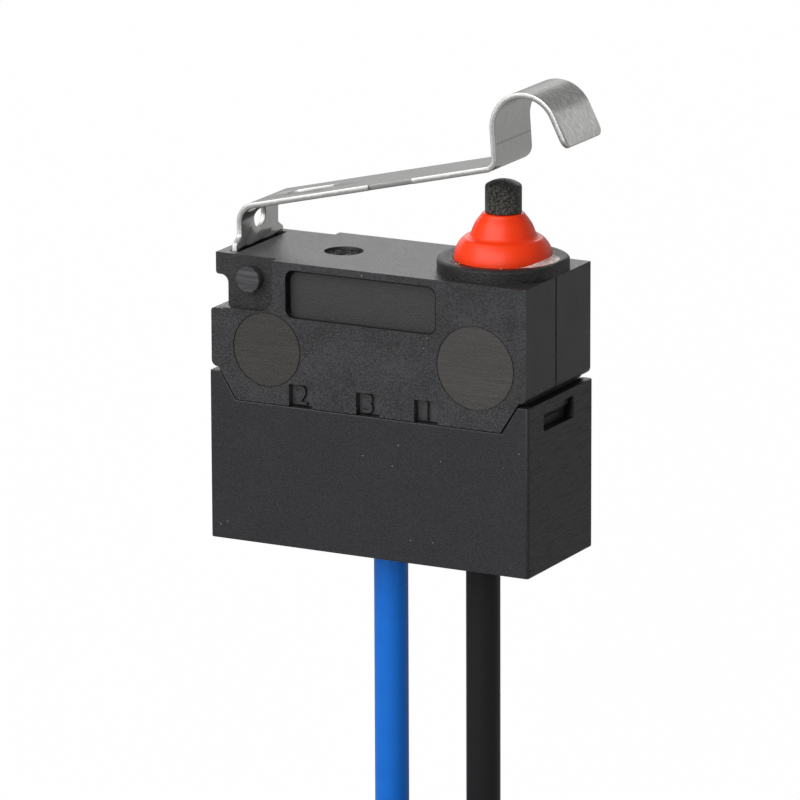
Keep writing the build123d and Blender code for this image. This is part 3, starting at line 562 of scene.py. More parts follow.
def rounded_section(corners, steps=4):
    """Points of a closed section whose corners (radius, height, rounding) are rounded by arcs."""
    points = []
    for k, (r, h, rounding) in enumerate(corners):
        if rounding <= 0:
            points.append((r, h))
            continue
        here = Vector((r, h))
        before = (Vector(corners[k - 1][:2]) - here).normalized()
        after = (Vector(corners[(k + 1) % len(corners)][:2]) - here).normalized()
        half = before.angle(after) / 2
        reach = rounding / math.tan(half)
        centre = here + (before + after).normalized() * rounding / math.sin(half)
        start = here + before * reach - centre
        points += swept(centre, start, start.angle_signed(here + after * reach - centre), steps)
    return points


# The camera that was fitted to the photo: turn, tilt and roll in degrees, target and distance in mm
CAMERA_TURN = 27.8386
CAMERA_TILT = 14.2776
CAMERA_ROLL = -0.2345
CAMERA_TARGET = (-0.0277, MID_Y, 2.7332)
CAMERA_DISTANCE = 260.07
CAMERA_LENS = 314.8
# Lamps: azimuth from the camera and elevation in degrees, distance, width and height in metres, power in watts
LAMPS = (
    ("key_softbox", -38.0, 32.0, 0.7, 0.9, 0.7, 6.0),
    ("fill_softbox", 50.0, 20.0, 0.8, 0.5, 0.5, 0.05),
    ("top_softbox", -90.0, 58.0, 0.7, 0.5, 0.5, 0.8),
    ("back_softbox", 192.0, 17.0, 0.5, 0.6, 0.16, 0.57),
)
# The paper sweep, in metres, and its turn in degrees
SWEEP_TURN = 27.84
FLOOR_LEVEL = -0.046
SWEEP_REACH = 2.0
SWEEP_BACK = 0.6
SWEEP_BEND = 0.15
SWEEP_HEIGHT = 0.35
# How bright the surroundings are in mirrors, where the camera sees 1: the floor, the wall that is brightest at its
# white level in metres, the room above, and the soft light of the room on everything
FLOOR_IN_MIRRORS = 0.35
WALL_IN_MIRRORS = 0.8
WALL_WHITE_LEVEL = 0.2
ROOM_IN_MIRRORS = 0.35
SOFT_LEVEL = 0.1
WHITE = (1.0, 1.0, 1.0, 1.0)


class SWITCH_OT_stage(bpy.types.Operator):
    """Adds the camera, the soft studio light, the pale floor and the white surroundings"""

    bl_idname = "switch.stage"
    bl_label = "Stage"

    def execute(self, context):
        scene = context.scene
        scene.view_settings.view_transform = "Standard"
        turn, tilt, roll = (math.radians(a) for a in (CAMERA_TURN, CAMERA_TILT, CAMERA_ROLL))
        away = Vector((math.sin(turn) * math.cos(tilt), -math.cos(turn) * math.cos(tilt), math.sin(tilt)))
        level = Vector((math.cos(turn), math.sin(turn), 0.0))
        upright = away.cross(level)
        right = math.cos(roll) * level + math.sin(roll) * upright
        up = -math.sin(roll) * level + math.cos(roll) * upright
        target = Vector(CAMERA_TARGET) * MM
        camera_data = bpy.data.cameras.new("camera")
        camera_data.sensor_width = 36.0
        camera_data.lens = CAMERA_LENS
        camera_data.clip_start = 0.01
        camera = bpy.data.objects.new("camera", camera_data)
        place = Matrix((right, up, away)).transposed().to_4x4()
        place.translation = target + away * CAMERA_DISTANCE * MM
        camera.matrix_world = place
        scene.collection.objects.link(camera)
        scene.camera = camera

        self.add_sweep(scene)
        self.add_surroundings(scene)
        for name, azimuth, elevation, distance, width, height, power in LAMPS:
            lamp_data = bpy.data.lights.new(name, "AREA")
            lamp_data.shape = "RECTANGLE"
            lamp_data.size = width
            lamp_data.size_y = height
            lamp_data.energy = power
            lamp = bpy.data.objects.new(name, lamp_data)
            az, el = turn + math.radians(azimuth), math.radians(elevation)
            toward = Vector((math.sin(az) * math.cos(el), -math.cos(az) * math.cos(el), math.sin(el)))
            lamp.location = target + toward * distance
            lamp.rotation_euler = toward.to_track_quat("Z", "Y").to_euler()
            scene.collection.objects.link(lamp)
        return {"FINISHED"}

    def add_sweep(self, scene):
        """A wide pale paper sweep: a floor well under the hanks that curves up into a low wall behind."""
        steps = 8
        profile = [(-SWEEP_REACH, 0.0)]
        for step in range(steps + 1):
            angle = math.radians(90 * step / steps)
            forth, rise = SWEEP_BEND * math.sin(angle), SWEEP_BEND * math.cos(angle)
            profile.append((SWEEP_BACK - SWEEP_BEND + forth, SWEEP_BEND - rise))
        profile.append((SWEEP_BACK, SWEEP_HEIGHT))
        bm = bmesh.new()
        rows = [[bm.verts.new((x, y, FLOOR_LEVEL + z)) for x in (-SWEEP_REACH, SWEEP_REACH)] for y, z in profile]
        for here, there in zip(rows, rows[1:]):
            bm.faces.new((*here, *reversed(there)))
        mesh = bpy.data.meshes.new("paper_sweep")
        bm.to_mesh(mesh)
        bm.free()
        smooth_mesh(mesh)
        sweep = bpy.data.objects.new("paper_sweep", mesh)
        sweep.rotation_euler.z = math.radians(SWEEP_TURN)
        scene.collection.objects.link(sweep)
        paper, tree, shader, mm = start_material("studio_paper")
        fill_inputs(tree, shader, {"Base Color": linear("#f4f4f4"), "Roughness": 0.9})
        path = add_node(tree, "LightPath")
        mirrored = path.outputs["Is Glossy Ray"]
        through = {0: path.outputs["Is Camera Ray"], 1: path.outputs["Is Transmission Ray"]}
        seen = add_node(tree, "Math", through, operation="ADD")
        height = add_node(tree, "SeparateXYZ", {0: mm})
        span = {"From Min": FLOOR_LEVEL / MM, "From Max": WALL_WHITE_LEVEL / MM}
        span |= {"To Min": FLOOR_IN_MIRRORS, "To Max": WALL_IN_MIRRORS}
        rising = add_node(tree, "MapRange", {"Value": height.outputs["Z"], **span})
        level = add_node(tree, "Mix", {0: mirrored, 2: 1.0, 3: rising})
        share = add_node(tree, "Math", {0: seen, 1: mirrored}, operation="MAXIMUM")
        # The rest stays paper, so that the floor still takes a faint shadow
        kept = add_node(tree, "Math", {0: share, 1: 0.985}, operation="MULTIPLY")
        white = add_node(tree, "Emission", {"Color": WHITE, "Strength": level})
        mixed = add_node(tree, "MixShader", {0: kept, 1: shader, 2: white})
        fill_inputs(tree, next(n for n in tree.nodes if n.type == "OUTPUT_MATERIAL"), {"Surface": mixed})
        mesh.materials.append(paper)

    def add_surroundings(self, scene):
        """White for the camera, a grey room for mirrors, and a low even light on everything."""
        world = bpy.data.worlds.new("studio_world")
        scene.world = world
        world.use_nodes = True
        tree = world.node_tree
        tree.nodes.clear()
        path = add_node(tree, "LightPath")
        through = {0: path.outputs["Is Camera Ray"], 1: path.outputs["Is Transmission Ray"]}
        seen = add_node(tree, "Math", through, operation="ADD")
        soft, room, white = (
            add_node(tree, "Background", {"Color": WHITE, "Strength": level})
            for level in (SOFT_LEVEL, ROOM_IN_MIRRORS, 1.0)
        )
        mirrored = add_node(tree, "MixShader", {0: path.outputs["Is Glossy Ray"], 1: soft, 2: room})
        mixed = add_node(tree, "MixShader", {0: seen, 1: mirrored, 2: white})
        add_node(tree, "OutputWorld", {"Surface": mixed})


# The leads' route, in mm, as in the part's source
WIRE_TOP = -1.7
HANK_TOP = -19.45
HANK_RUN = 15.7
HANK_RADIUS = 4.1
LANES = 3
LANE_PITCH = 1.35
WIRE_END = 4.0
BARE_END = 3.0
LEADS = (("blue", -0.43, -1, "extruded_pvc_blue"), ("black", 3.44, 1, "extruded_pvc_black"))
# The ties: corner radius and thickness of the band, and width, depth, height and ease of the head
TIE_CORNER = 0.75
TIE_THICK = 0.2
TIE_HEAD = (1.7, 0.9, 1.5)
TIE_HEAD_EASE = 0.14
# The band's section: how far out, and how high as a share of the solid's height
TIE_SECTION = (
    (0.0, -0.5),
    (0.0, 0.5),
    (-0.05, 0.56),
    (0.05 - TIE_THICK, 0.56),
    (-TIE_THICK, 0.5),
    (-TIE_THICK, -0.5),
    (0.05 - TIE_THICK, -0.56),
    (-0.05, -0.56),
)


def lead_route(first_x, side):
    """Control points of one lead: straight down, two turns of the hank and the free end, in mm."""
    points = [(first_x, MID_Y, z) for z in (WIRE_TOP, -7.5, -13.5, HANK_TOP)]
    bow = HANK_RADIUS / math.cos(math.radians(15))
    middle_y = MID_Y - HANK_RADIUS
    low = HANK_TOP - HANK_RUN
    for lane in range(LANES - 1):
        x = first_x + side * lane * LANE_PITCH
        points += [(x, MID_Y, HANK_TOP - share * HANK_RUN) for share in (0.3, 0.7)]
        for step in range(6):
            angle = math.radians(-15 - 30 * step)
            points.append((x, middle_y + bow * math.cos(angle), low + bow * math.sin(angle)))
        points += [(x, MID_Y - 2 * HANK_RADIUS, low + share * HANK_RUN) for share in (0.3, 0.7)]
        for step in range(6):
            angle = math.radians(165 - 30 * step)
            over = x + side * LANE_PITCH * (step + 0.5) / 6
            points.append((over, middle_y + bow * math.cos(angle), HANK_TOP + bow * math.sin(angle)))
    last_x = first_x + side * (LANES - 1) * LANE_PITCH
    for z in (HANK_TOP - 0.3 * HANK_RUN, HANK_TOP - 0.7 * HANK_RUN, low - 0.4 * WIRE_END, low - WIRE_END):
        points.append((last_x, MID_Y, z))
    return points, last_x


class SWITCH_OT_leads(bpy.types.Operator):
    """Adds the two lead wires with their folded hanks, ties and tinned ends"""

    bl_idname = "switch.leads"
    bl_label = "Lead wires"

    def execute(self, context):
        sizes = context.scene.switch_sizes
        for colour, first_x, side, finish in LEADS:
            points, last_x = lead_route(first_x, side)
            curve = bpy.data.curves.new(f"{colour}_lead", "CURVE")
            curve.dimensions = "3D"
            spline = curve.splines.new("NURBS")
            spline.points.add(len(points) - 1)
            for point, (x, y, z) in zip(spline.points, points):
                point.co = (x * MM, y * MM, z * MM, 1.0)
            spline.order_u = 3
            spline.use_endpoint_u = True
            spline.resolution_u = 10
            curve.bevel_depth = sizes.wire / 2 * MM
            curve.bevel_resolution = 8
            curve.use_fill_caps = True
            curve.materials.append(material(finish))
            lead = bpy.data.objects.new(f"{colour}_lead", curve)
            context.scene.collection.objects.link(lead)
            solids = [f"{colour}_{part}" for part in ("wire", "wire_hank", "wire_end")]
            settle(lead, "housing", f"{colour}_insulation", *solids)
            tie = self.add_tie(colour)
            strands = self.add_strands(colour, last_x, sizes.strand)
        return {"FINISHED"}

    def add_tie(self, colour):
        """A nylon tie: a flat band round the hank with its square head."""
        node = f"{colour}_hank_tie"
        low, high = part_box(node)
        centre = (low + high) / 2 / MM
        half_x, half_y, half_z = (high - low) / 2 / MM
        bm = bmesh.new()
        rings = []
        for sign_x, sign_y, start in ((1, 1, 0), (-1, 1, 90), (-1, -1, 180), (1, -1, 270)):
            for step in range(7):
                angle = math.radians(start + 15 * step)
                nx, ny = math.cos(angle), math.sin(angle)
                x = centre.x + sign_x * (half_x - TIE_CORNER) + TIE_CORNER * nx
                y = centre.y + sign_y * (half_y - TIE_CORNER) + TIE_CORNER * ny
                ring = [(x + nx * out, y + ny * out, centre.z + up * half_z * 1.4) for out, up in TIE_SECTION]
                rings.append([bm.verts.new(place) for place in ring])
        join_rings(bm, rings + rings[:1])
        head = bmesh.ops.create_cube(bm, size=1.0)["verts"]
        bmesh.ops.scale(bm, vec=TIE_HEAD, verts=head)
        bmesh.ops.translate(bm, vec=(centre.x, centre.y - half_y + 0.3, centre.z), verts=head)
        edges = list({e for v in head for e in v.link_edges})
        bmesh.ops.bevel(bm, geom=edges, offset=TIE_HEAD_EASE, segments=3, affect="EDGES")
        piece = new_piece(f"{colour}_tie", finished_mesh(bm, f"{colour}_tie", 35.0), "moulded_nylon")
        return settle(piece, "housing", "tie_plastic", node)

    def add_strands(self, colour, x, strand):
        """Seven tinned strands twisted together, one in the middle and six round it, which start in the wire."""
        hidden = 0.3
        top, height = HANK_TOP - HANK_RUN - WIRE_END + hidden, BARE_END + hidden
        steps, turns = 36, 1.1
        bm = bmesh.new()
        for index in range(7):
            radius = 0.0 if index == 6 else strand * 1.02
            rings = []
            for step in range(steps + 1):
                share = step / steps
                angle = 2 * math.pi * (index / 6 + turns * share)
                centre = Vector((x + radius * math.cos(angle), MID_Y + radius * math.sin(angle), top - height * share))
                rings.append(tube_ring(bm, centre, Vector((1, 0, 0)), Vector((0, 1, 0)), strand / 2))
            join_rings(bm, rings)
            bm.faces.new(rings[0])
            bm.faces.new(rings[-1])
        piece = new_piece(f"{colour}_strands", finished_mesh(bm, f"{colour}_strands"), "tinned_copper_strand")
        return settle(piece, "housing", "tinned_copper", f"{colour}_bare_end")


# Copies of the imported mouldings: name, solid, finish, and share of the edge ease
MOULDINGS = (
    ("eased_cup", "terminal_cup", "moulded_pbt_cup", 1.0),
    ("eased_rear_case", "rear_case", "moulded_pbt_case", 0.8),
    ("eased_front_cover", "front_cover", "moulded_pbt_cover", 0.8),
)
# The collar's section as radius, height above the case and rounding. It blends into the flat at the case's end
COLLAR_SECTION = (
    (2.46, -0.05, 0.0),
    (2.46, 0.5, 0.14),
    (2.2, 0.5, 0.1),
    (1.98, 0.455, 0.03),
    (1.84, 0.455, 0.02),
    (1.84, 0.29, 0.0),
    (2.13, 0.28, 0.0),
    (2.13, -0.05, 0.0),
)
COLLAR_BLEND = 0.3
# The sealant's section as radius and height above the case, and where it is smeared wide: side and spread in degrees
FILM_SECTION = (
    (1.74, 0.42),
    (2.02, 0.43),
    (2.09, 0.455),
    (2.03, 0.475),
    (1.94, 0.49),
    (1.87, 0.52),
    (1.82, 0.58),
    (1.74, 0.6),
)
SMEAR_SIDE = 2.0
SMEAR_SPREAD = 30.0
LUMPS = 36
CRUMBS = 14
SEAL_DEPTH = 0.13
SEAL_RINGS = 8
SEAL_SIDES = 40
# The raised numbers: digit and place along the case, size, foot and the floor that they stand on
NUMBERS = (("2", -2.86), ("3", -0.06), ("1", 2.36))
NUMBER_SIZE = 1.02
NUMBER_FOOT = 2.79
POCKET_FLOOR = -4.98


class SWITCH_OT_housing(bpy.types.Operator):
    """Adds the eased mouldings: cup, case halves, collar, vent seal and raised numbers"""

    bl_idname = "switch.housing"
    bl_label = "Housing"

    def execute(self, context):
        sizes = context.scene.switch_sizes
        for name, node, finish, share in MOULDINGS:
            piece = eased_copy(name, node, finish, sizes.edge_ease * share)
            settle(piece, "housing", "black_moulding", node)
        self.add_collar()
        self.add_sealant()
        self.add_vent_seal()
        self.add_numbers(sizes.relief)
        return {"FINISHED"}

    def add_collar(self):
        """The collar: well rounded rim, top sloping in to the boot, flat where the case ends."""

        def cut_off(angle, radius, height):
            """Lets the round wall run softly into the flat that is flush with the end of the case."""
            x, y, z = about_plunger(angle, radius, height)
            near = max(COLLAR_BLEND - abs(x - CASE_END), 0.0) / COLLAR_BLEND
            x = min(x, CASE_END) - near * near * COLLAR_BLEND / 4
            return (x + 0.004 * (radius > 2.2), y, z)

        bm = bmesh.new()
        add_turned(bm, [(r, CASE_TOP + h) for r, h in rounded_section(COLLAR_SECTION)], 180, cut_off)
        piece = new_piece("collar", finished_mesh(bm, "collar"), "moulded_pbt_collar")
        settle(piece, "housing", "black_moulding", "boot_collar")

    def add_sealant(self):
        """A thin film of sealant round the boot, smeared wide at the right, with a few crumbs on the collar."""
        random.seed(11)
        lumps = [random.uniform(-1.0, 1.0) for _ in range(LUMPS)]

        def uneven(angle, radius, height):
            """Draws the film's outer edge and skin in or out with its lumps and smears."""
            place = angle / (2 * math.pi) * LUMPS
            k = int(place) % LUMPS
            lump = lumps[k] + (lumps[(k + 1) % LUMPS] - lumps[k]) * (place % 1.0)
            off_smear = (math.degrees(angle) - SMEAR_SIDE + 180) % 360 - 180
            right = math.exp(-(off_smear**2) / (2 * SMEAR_SPREAD**2))
            left = 0.3 * math.exp(-((math.degrees(angle) - 190) ** 2) / 800)
            reach = min(right + left, 1.0)
            if radius > 1.75:
                radius = 1.72 + (radius - 1.72) * reach * 1.15 + 0.03 * lump * reach
            height += (0.03 * reach + 0.015 * lump * reach - 0.05 * (1 - reach)) * (height > CASE_TOP + 0.4)
            return about_plunger(angle, radius, height)

        bm = bmesh.new()
        add_turned(bm, [(r, CASE_TOP + h) for r, h in FILM_SECTION], 180, uneven)
        for _ in range(CRUMBS):
            angle = math.radians(random.uniform(-150, 20))
            spot = Vector(about_plunger(angle, random.uniform(1.9, 2.2), CASE_TOP + 0.49))
            crumb = bmesh.ops.create_icosphere(bm, subdivisions=1, radius=random.uniform(0.012, 0.03))["verts"]
            for vert in crumb:
                vert.co = vert.co * random.uniform(0.7, 1.2) + spot
        piece = new_piece("sealant_bead", finished_mesh(bm, "sealant_bead", 80.0), "cured_silicone_sealant")
        settle(piece, "housing", "clear_sealant", "boot_sealant")

    def add_vent_seal(self):
        """The adhesive in the vent hole: a rough dished surface with lumps."""
        low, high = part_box("vent_seal")
        centre = (low + high) / 2 / MM
        radius = (high.x - low.x) / 2 / MM
        level = CASE_TOP - SEAL_DEPTH
        random.seed(5)
        bm = bmesh.new()
        top = bm.verts.new((centre.x, centre.y, level - 0.05))
        rings = []
        for k in range(1, SEAL_RINGS + 1):
            reach = radius * k / SEAL_RINGS
            ring = []
            for s in range(SEAL_SIDES):
                angle = 2 * math.pi * s / SEAL_SIDES
                z = level + (0.0 if k == SEAL_RINGS else random.uniform(-0.06, 0.06))
                ring.append(bm.verts.new((centre.x + reach * math.cos(angle), centre.y + reach * math.sin(angle), z)))
            rings.append(ring)
        rings.append([bm.verts.new((v.co.x, v.co.y, low.z / MM)) for v in rings[-1]])
        for s in range(SEAL_SIDES):
            bm.faces.new((top, rings[0][s], rings[0][(s + 1) % SEAL_SIDES]))
        join_rings(bm, rings)
        bm.faces.new(rings[-1])
        piece = new_piece("rough_vent_seal", finished_mesh(bm, "rough_vent_seal"), "dabbed_epoxy")
        settle(piece, "housing", "black_adhesive", "vent_seal")

    def add_numbers(self, relief):
        """The terminal numbers, raised on the floors of their pockets."""
        for digit, x in NUMBERS:
            text = bpy.data.curves.new(f"number_{digit}", "FONT")
            text.body = digit
            text.align_x = "CENTER"
            text.size = NUMBER_SIZE * MM
            text.extrude = relief / 2 * MM
            text.bevel_depth = 0.02 * MM
            text.bevel_resolution = 1
            text.offset = -0.012 * MM
            holder = bpy.data.objects.new(f"text_{digit}", text)
            mesh = bpy.data.meshes.new_from_object(holder)
            bpy.data.objects.remove(holder)
            mesh.name = f"number_{digit}"
            place = Matrix.Translation((x * MM, (POCKET_FLOOR - relief / 2) * MM, NUMBER_FOOT * MM))
            mesh.transform(place @ Matrix.Rotation(math.radians(90), 4, "X"))
            smooth_mesh(mesh)
            mesh.materials.clear()
            settle(new_piece(f"number_{digit}", mesh, "moulded_pbt_case"), "housing", "black_moulding")


# Corners of the boot's section as radius and height above the case
SKIRT_TOP = (1.83, 0.44)
LEDGE_END = (1.44, 1.25)
BELL_FOOT = (1.205, 1.36)
BELL_TOP = (0.815, 2.07)
BOOT_FOOT = ((2.1, 0.0), (2.1, 0.25), (1.83, 0.25), SKIRT_TOP)
BOOT_INSIDE = ((0.55, 2.16), (0.53, 2.14), (0.53, 1.88), (0.88, 1.12), (1.5, 0.75), (1.52, 0.0))
# How far the boot's ledge drops to the right, as a slope
BOOT_LEAN = 0.006
# The return spring's coil
COIL_RADIUS = 0.75
COIL_WIRE_RADIUS = 0.085
COIL_TURNS = 5.0


class SWITCH_OT_boot(bpy.types.Operator):
    """Adds the rubber boot and the return spring"""

    bl_idname = "switch.boot"
    bl_label = "Boot and spring"

    def execute(self, context):
        section = [*BOOT_FOOT]
        section += arc_through(SKIRT_TOP, (1.71, 0.93), LEDGE_END, 14)
        section += arc_through(LEDGE_END, (1.275, 1.29), BELL_FOOT, 8)
        section += arc_through(BELL_FOOT, (1.045, 1.76), BELL_TOP, 12)
        section += arc_through(BELL_TOP, (0.78, 2.135), (0.70, 2.16), 5)
        section += BOOT_INSIDE

        def settled(angle, radius, height):
            """The boot as it was pressed on: it sits a little low at the right, and its wall isn't quite round."""
            free = min(max((height - CASE_TOP - 0.6) / 0.7, 0.0), 1.0)
            lean = BOOT_LEAN * free * (1.0 if height < CASE_TOP + 1.45 else 0.75)
            height -= radius * math.cos(angle - math.radians(28)) * lean
            dent = 0.012 * math.exp(-(((angle - 5.6) / 0.35) ** 2))
            radius *= 1 + free * (0.006 * math.cos(3 * angle + 0.6) - dent)
            return about_plunger(angle, radius, height)

        bm = bmesh.new()
        add_turned(bm, [(r, CASE_TOP + h) for r, h in section], 160, settled)
        boot = new_piece("silicone_boot", finished_mesh(bm, "silicone_boot"), "pressed_silicone_boot")
        settle(boot, "housing", "red_silicone", "rubber_boot")
        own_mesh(boot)
        coil = self.add_coil()
        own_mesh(coil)
        return {"FINISHED"}

    def add_coil(self):
        """The return spring, wound from round wire with closed ends."""
        low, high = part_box("return_spring")
        base, height = low.z / MM + 0.09, (high.z - low.z) / MM - 0.18
        steps = 180
        bm = bmesh.new()
        rings = []
        for step in range(steps + 1):
            share = step / steps
            angle = 2 * math.pi * COIL_TURNS * share
            rise = base + height * (share - math.sin(2 * math.pi * share) / (2 * math.pi) * 0.6)
            out = Vector((math.cos(angle), math.sin(angle), 0.0))
            centre = Vector((PLUNGER_X, MID_Y, rise)) + out * COIL_RADIUS
            rings.append(tube_ring(bm, centre, out, Vector((0, 0, 1)), COIL_WIRE_RADIUS))
        join_rings(bm, rings)
        bm.faces.new(rings[0])
        bm.faces.new(rings[-1])
        piece = new_piece("round_wire_spring", finished_mesh(bm, "round_wire_spring"), "drawn_stainless_wire")
        return settle(piece, "housing", "spring_wire", "return_spring")


# The lever's strip, in mm and degrees, as in the part's source. Only the elbow is drawn wider than the source's
# 0.57 mm, because the photo shows it so
STRIP = 0.22
RISE = 13.4
ELBOW_RADIUS = 0.82
HEEL_X = 4.54
HEEL_RADIUS = 0.31
RISER_LEAN = 94.0
RISER = 1.08
ROLLER_RADIUS = 1.4
ROLLER_TURN = 157.0
TAIL = 1.24
ROOT_DEPTH = 0.62
ARM_LEVEL = 11.59 + 0.49 + STRIP / math.cos(math.radians(RISE))
# The flat blank: half widths of the strip, of the ears at its root and of the neck above them, and its cut-outs
HALF_WIDTH = 1.45
EAR = 1.8
NECK = 1.42
EAR_END = ROOT_DEPTH + 0.2
NECK_START = ROOT_DEPTH + 0.52
NOTCH_DEPTH = 0.06
TIP_RADIUS = 0.35
HOLE_PLACE = ROOT_DEPTH + 0.97
HOLE_RADIUS = 0.43
SLOT = (-4.75, -2.65)
SLOT_HALF = 0.475


def along(run, distance):
    """The point on a run's outer face at a distance from its start, and the heading there, in degrees."""
    start, length, radius, turn, place, heading = run
    a = math.radians(heading)
    if not radius:
        return place + Vector((math.cos(a), math.sin(a))) * distance, heading
    side = 1 if turn > 0 else -1
    centre = place + Vector((-math.sin(a), math.cos(a))) * radius * side
    turned = distance / radius * side
    arm = place - centre
    c, s = math.cos(turned), math.sin(turned)
    return centre + Vector((arm.x * c - arm.y * s, arm.x * s + arm.y * c)), heading + math.degrees(turned)


def strip_route():
    """The strip's outer face in front view as runs: start, length, radius, turn, place and heading of each."""
    outer_x = LEVER_X - STRIP / 2
    elbow_turn = 90 - RISE
    heel_turn = RISER_LEAN - RISE
    corner = ARM_LEVEL - (PLUNGER_X - outer_x) * math.tan(math.radians(RISE))
    elbow_reach = ELBOW_RADIUS * math.tan(math.radians(elbow_turn / 2))
    heel_reach = HEEL_RADIUS * math.tan(math.radians(heel_turn / 2))
    root = corner - elbow_reach - (CASE_TOP - ROOT_DEPTH)
    arm = (HEEL_X - outer_x) / math.cos(math.radians(RISE)) - elbow_reach - heel_reach
    runs = []
    place, heading, travelled = Vector((outer_x, CASE_TOP - ROOT_DEPTH)), 90.0, 0.0
    for length, radius, turn in (
        (root, 0.0, 0.0),
        (0.0, ELBOW_RADIUS, -elbow_turn),
        (arm, 0.0, 0.0),
        (0.0, HEEL_RADIUS, heel_turn),
        (RISER, 0.0, 0.0),
        (0.0, ROLLER_RADIUS, -ROLLER_TURN),
        (TAIL, 0.0, 0.0),
    ):
        if radius:
            length = radius * math.radians(abs(turn))
        runs.append((travelled, length, radius, turn, place.copy(), heading))
        place = along(runs[-1], length)[0]
        heading += turn
        travelled += length
    return runs


def arc_points(x, y, radius, start, end, steps=8):
    """Points on an arc, from one angle to another in degrees."""
    angles = [math.radians(start + (end - start) * k / steps) for k in range(steps + 1)]
    return [(x + radius * math.cos(a), y + radius * math.sin(a)) for a in angles]


class SWITCH_OT_lever(bpy.types.Operator):
    """Adds the lever, bent from a blank with rounded sheared edges along the strip's route, and the plunger"""

    bl_idname = "switch.lever"
    bl_label = "Lever and plunger"

    def execute(self, context):
        runs = strip_route()
        bm = self.cut_blank(runs, context.scene.switch_sizes.strip_ease)
        self.bend(bm, runs)
        mesh = bpy.data.meshes.new("strip_lever")
        bm.to_mesh(mesh)
        bm.free()
        smooth_mesh(mesh)
        lever = new_piece("strip_lever", mesh, "rolled_stainless_strip", "sheared_stainless_edge")
        settle(lever, "lever", "spring_steel", "actuator_lever")
        self.spare_from_back_light(lever)
        self.add_plunger()
        return {"FINISHED"}

    def cut_blank(self, runs, ease):
        """The flat blank, cut across where it will bend, with its place on the strip kept as UV maps."""
        total = runs[-1][0] + runs[-1][1]
        blank = self.flat_blank(runs, total, ease)
        bm = bmesh.new()
        bm.from_mesh(blank)
        bpy.data.meshes.remove(blank)
        for start, length, radius, turn, place, heading in runs:
            steps = max(1, round(abs(turn) / 3)) if radius else max(1, round(length / 1.5))
            for k in range(steps + (1 if start + length < total - 0.01 else 0)):
                cut = start + length * k / steps
                if 0.001 < cut < total - 0.001:
                    geom = [*bm.verts, *bm.edges, *bm.faces]
                    bmesh.ops.bisect_plane(bm, geom=geom, dist=0.0001, plane_co=(cut, 0, 0), plane_no=(1, 0, 0))
        bmesh.ops.remove_doubles(bm, verts=bm.verts, dist=0.0002)
        strip_layer = bm.loops.layers.uv.new("strip")
        edge_layer = bm.loops.layers.uv.new("edge")
        for face in bm.faces:
            on_face = abs(abs(face.calc_center_median().z) - STRIP / 2) < 0.004
            face.material_index = 0 if on_face else 1
            for loop in face.loops:
                x, y, z = loop.vert.co
                loop[strip_layer].uv = (x, y + z)
                loop[edge_layer].uv = (x, z)
        return bm

    def bend(self, bm, runs):
        """Lays the blank along the strip's route, in metres."""
        for vert in bm.verts:
            s, across, depth = vert.co
            run = next((r for r in reversed(runs) if s >= r[0] - 1e-6), runs[0])
            point, heading = along(run, s - run[0])
            a = math.radians(heading)
            point = point + Vector((-math.sin(a), math.cos(a))) * (depth - STRIP / 2)
            vert.co = (point.x * MM, (MID_Y + across) * MM, point.y * MM)

    def spare_from_back_light(self, lever):
        """Keeps the low back softbox, which lights the matt top of the case, from showing as a strip in the lever."""
        spared = bpy.data.collections.new("spared_by_back_softbox")
        spared.objects.link(lever)
        bpy.data.objects["back_softbox"].light_linking.receiver_collection = spared
        spared.collection_objects[0].light_linking.link_state = "EXCLUDE"

    def add_plunger(self):
        """The plunger: turned cap with a low dome, stem, guide flange, spring post and the nose for the blade."""
        cap, top, dome_radius, rim_round = 0.68, 11.585, 1.14, 0.13
        middle = top - dome_radius
        inner = cap - rim_round
        rise = math.sqrt((dome_radius - rim_round) ** 2 - inner**2)
        lean = math.atan2(rise, inner)
        half = (math.pi / 2 + lean) / 2
        side = (cap, middle + rise)
        bend = (inner + rim_round * math.cos(lean / 2), side[1] + rim_round * math.sin(lean / 2))
        rim = (dome_radius * math.cos(lean), middle + dome_radius * math.sin(lean))
        on_dome = (dome_radius * math.cos(half), middle + dome_radius * math.sin(half))
        post = [(0.0, 5.67), (0.36, 5.67), (0.42, 5.73), (0.42, 6.87)]
        flange = [(1.0, 6.87), (1.0, 7.32), (0.5, 7.32), (0.5, 10.36)]
        section = post + flange + [(cap - 0.02, 10.36), (cap, 10.38), side]
        section += arc_through(side, bend, rim, 6) + arc_through(rim, on_dome, (0.0, top), 10)
        bm = bmesh.new()
        add_turned(bm, section, 96)
        nose = bmesh.ops.create_cube(bm, size=1.0)["verts"]
        bmesh.ops.scale(bm, vec=(0.45, 0.6, 1.02), verts=nose)
        bmesh.ops.translate(bm, vec=(3.165, MID_Y, 6.81), verts=nose)
        edges = list({e for v in nose for e in v.link_edges})
        bmesh.ops.bevel(bm, geom=edges, offset=0.05, segments=2, affect="EDGES")
        piece = new_piece("turned_plunger", finished_mesh(bm, "turned_plunger", 40.0), "moulded_pbt_plunger")
        settle(piece, "plunger", "black_moulding", "plunger")

    def flat_blank(self, runs, total, ease):
        """The blank before bending: X along the strip, Y across it, Z through it, in mm."""
        arm_start, arm_x = runs[2][0], runs[2][4].x

        def arm_place(x):
            """How far along the strip a place on the arm lies."""
            return arm_start + (x - arm_x) / math.cos(math.radians(RISE))

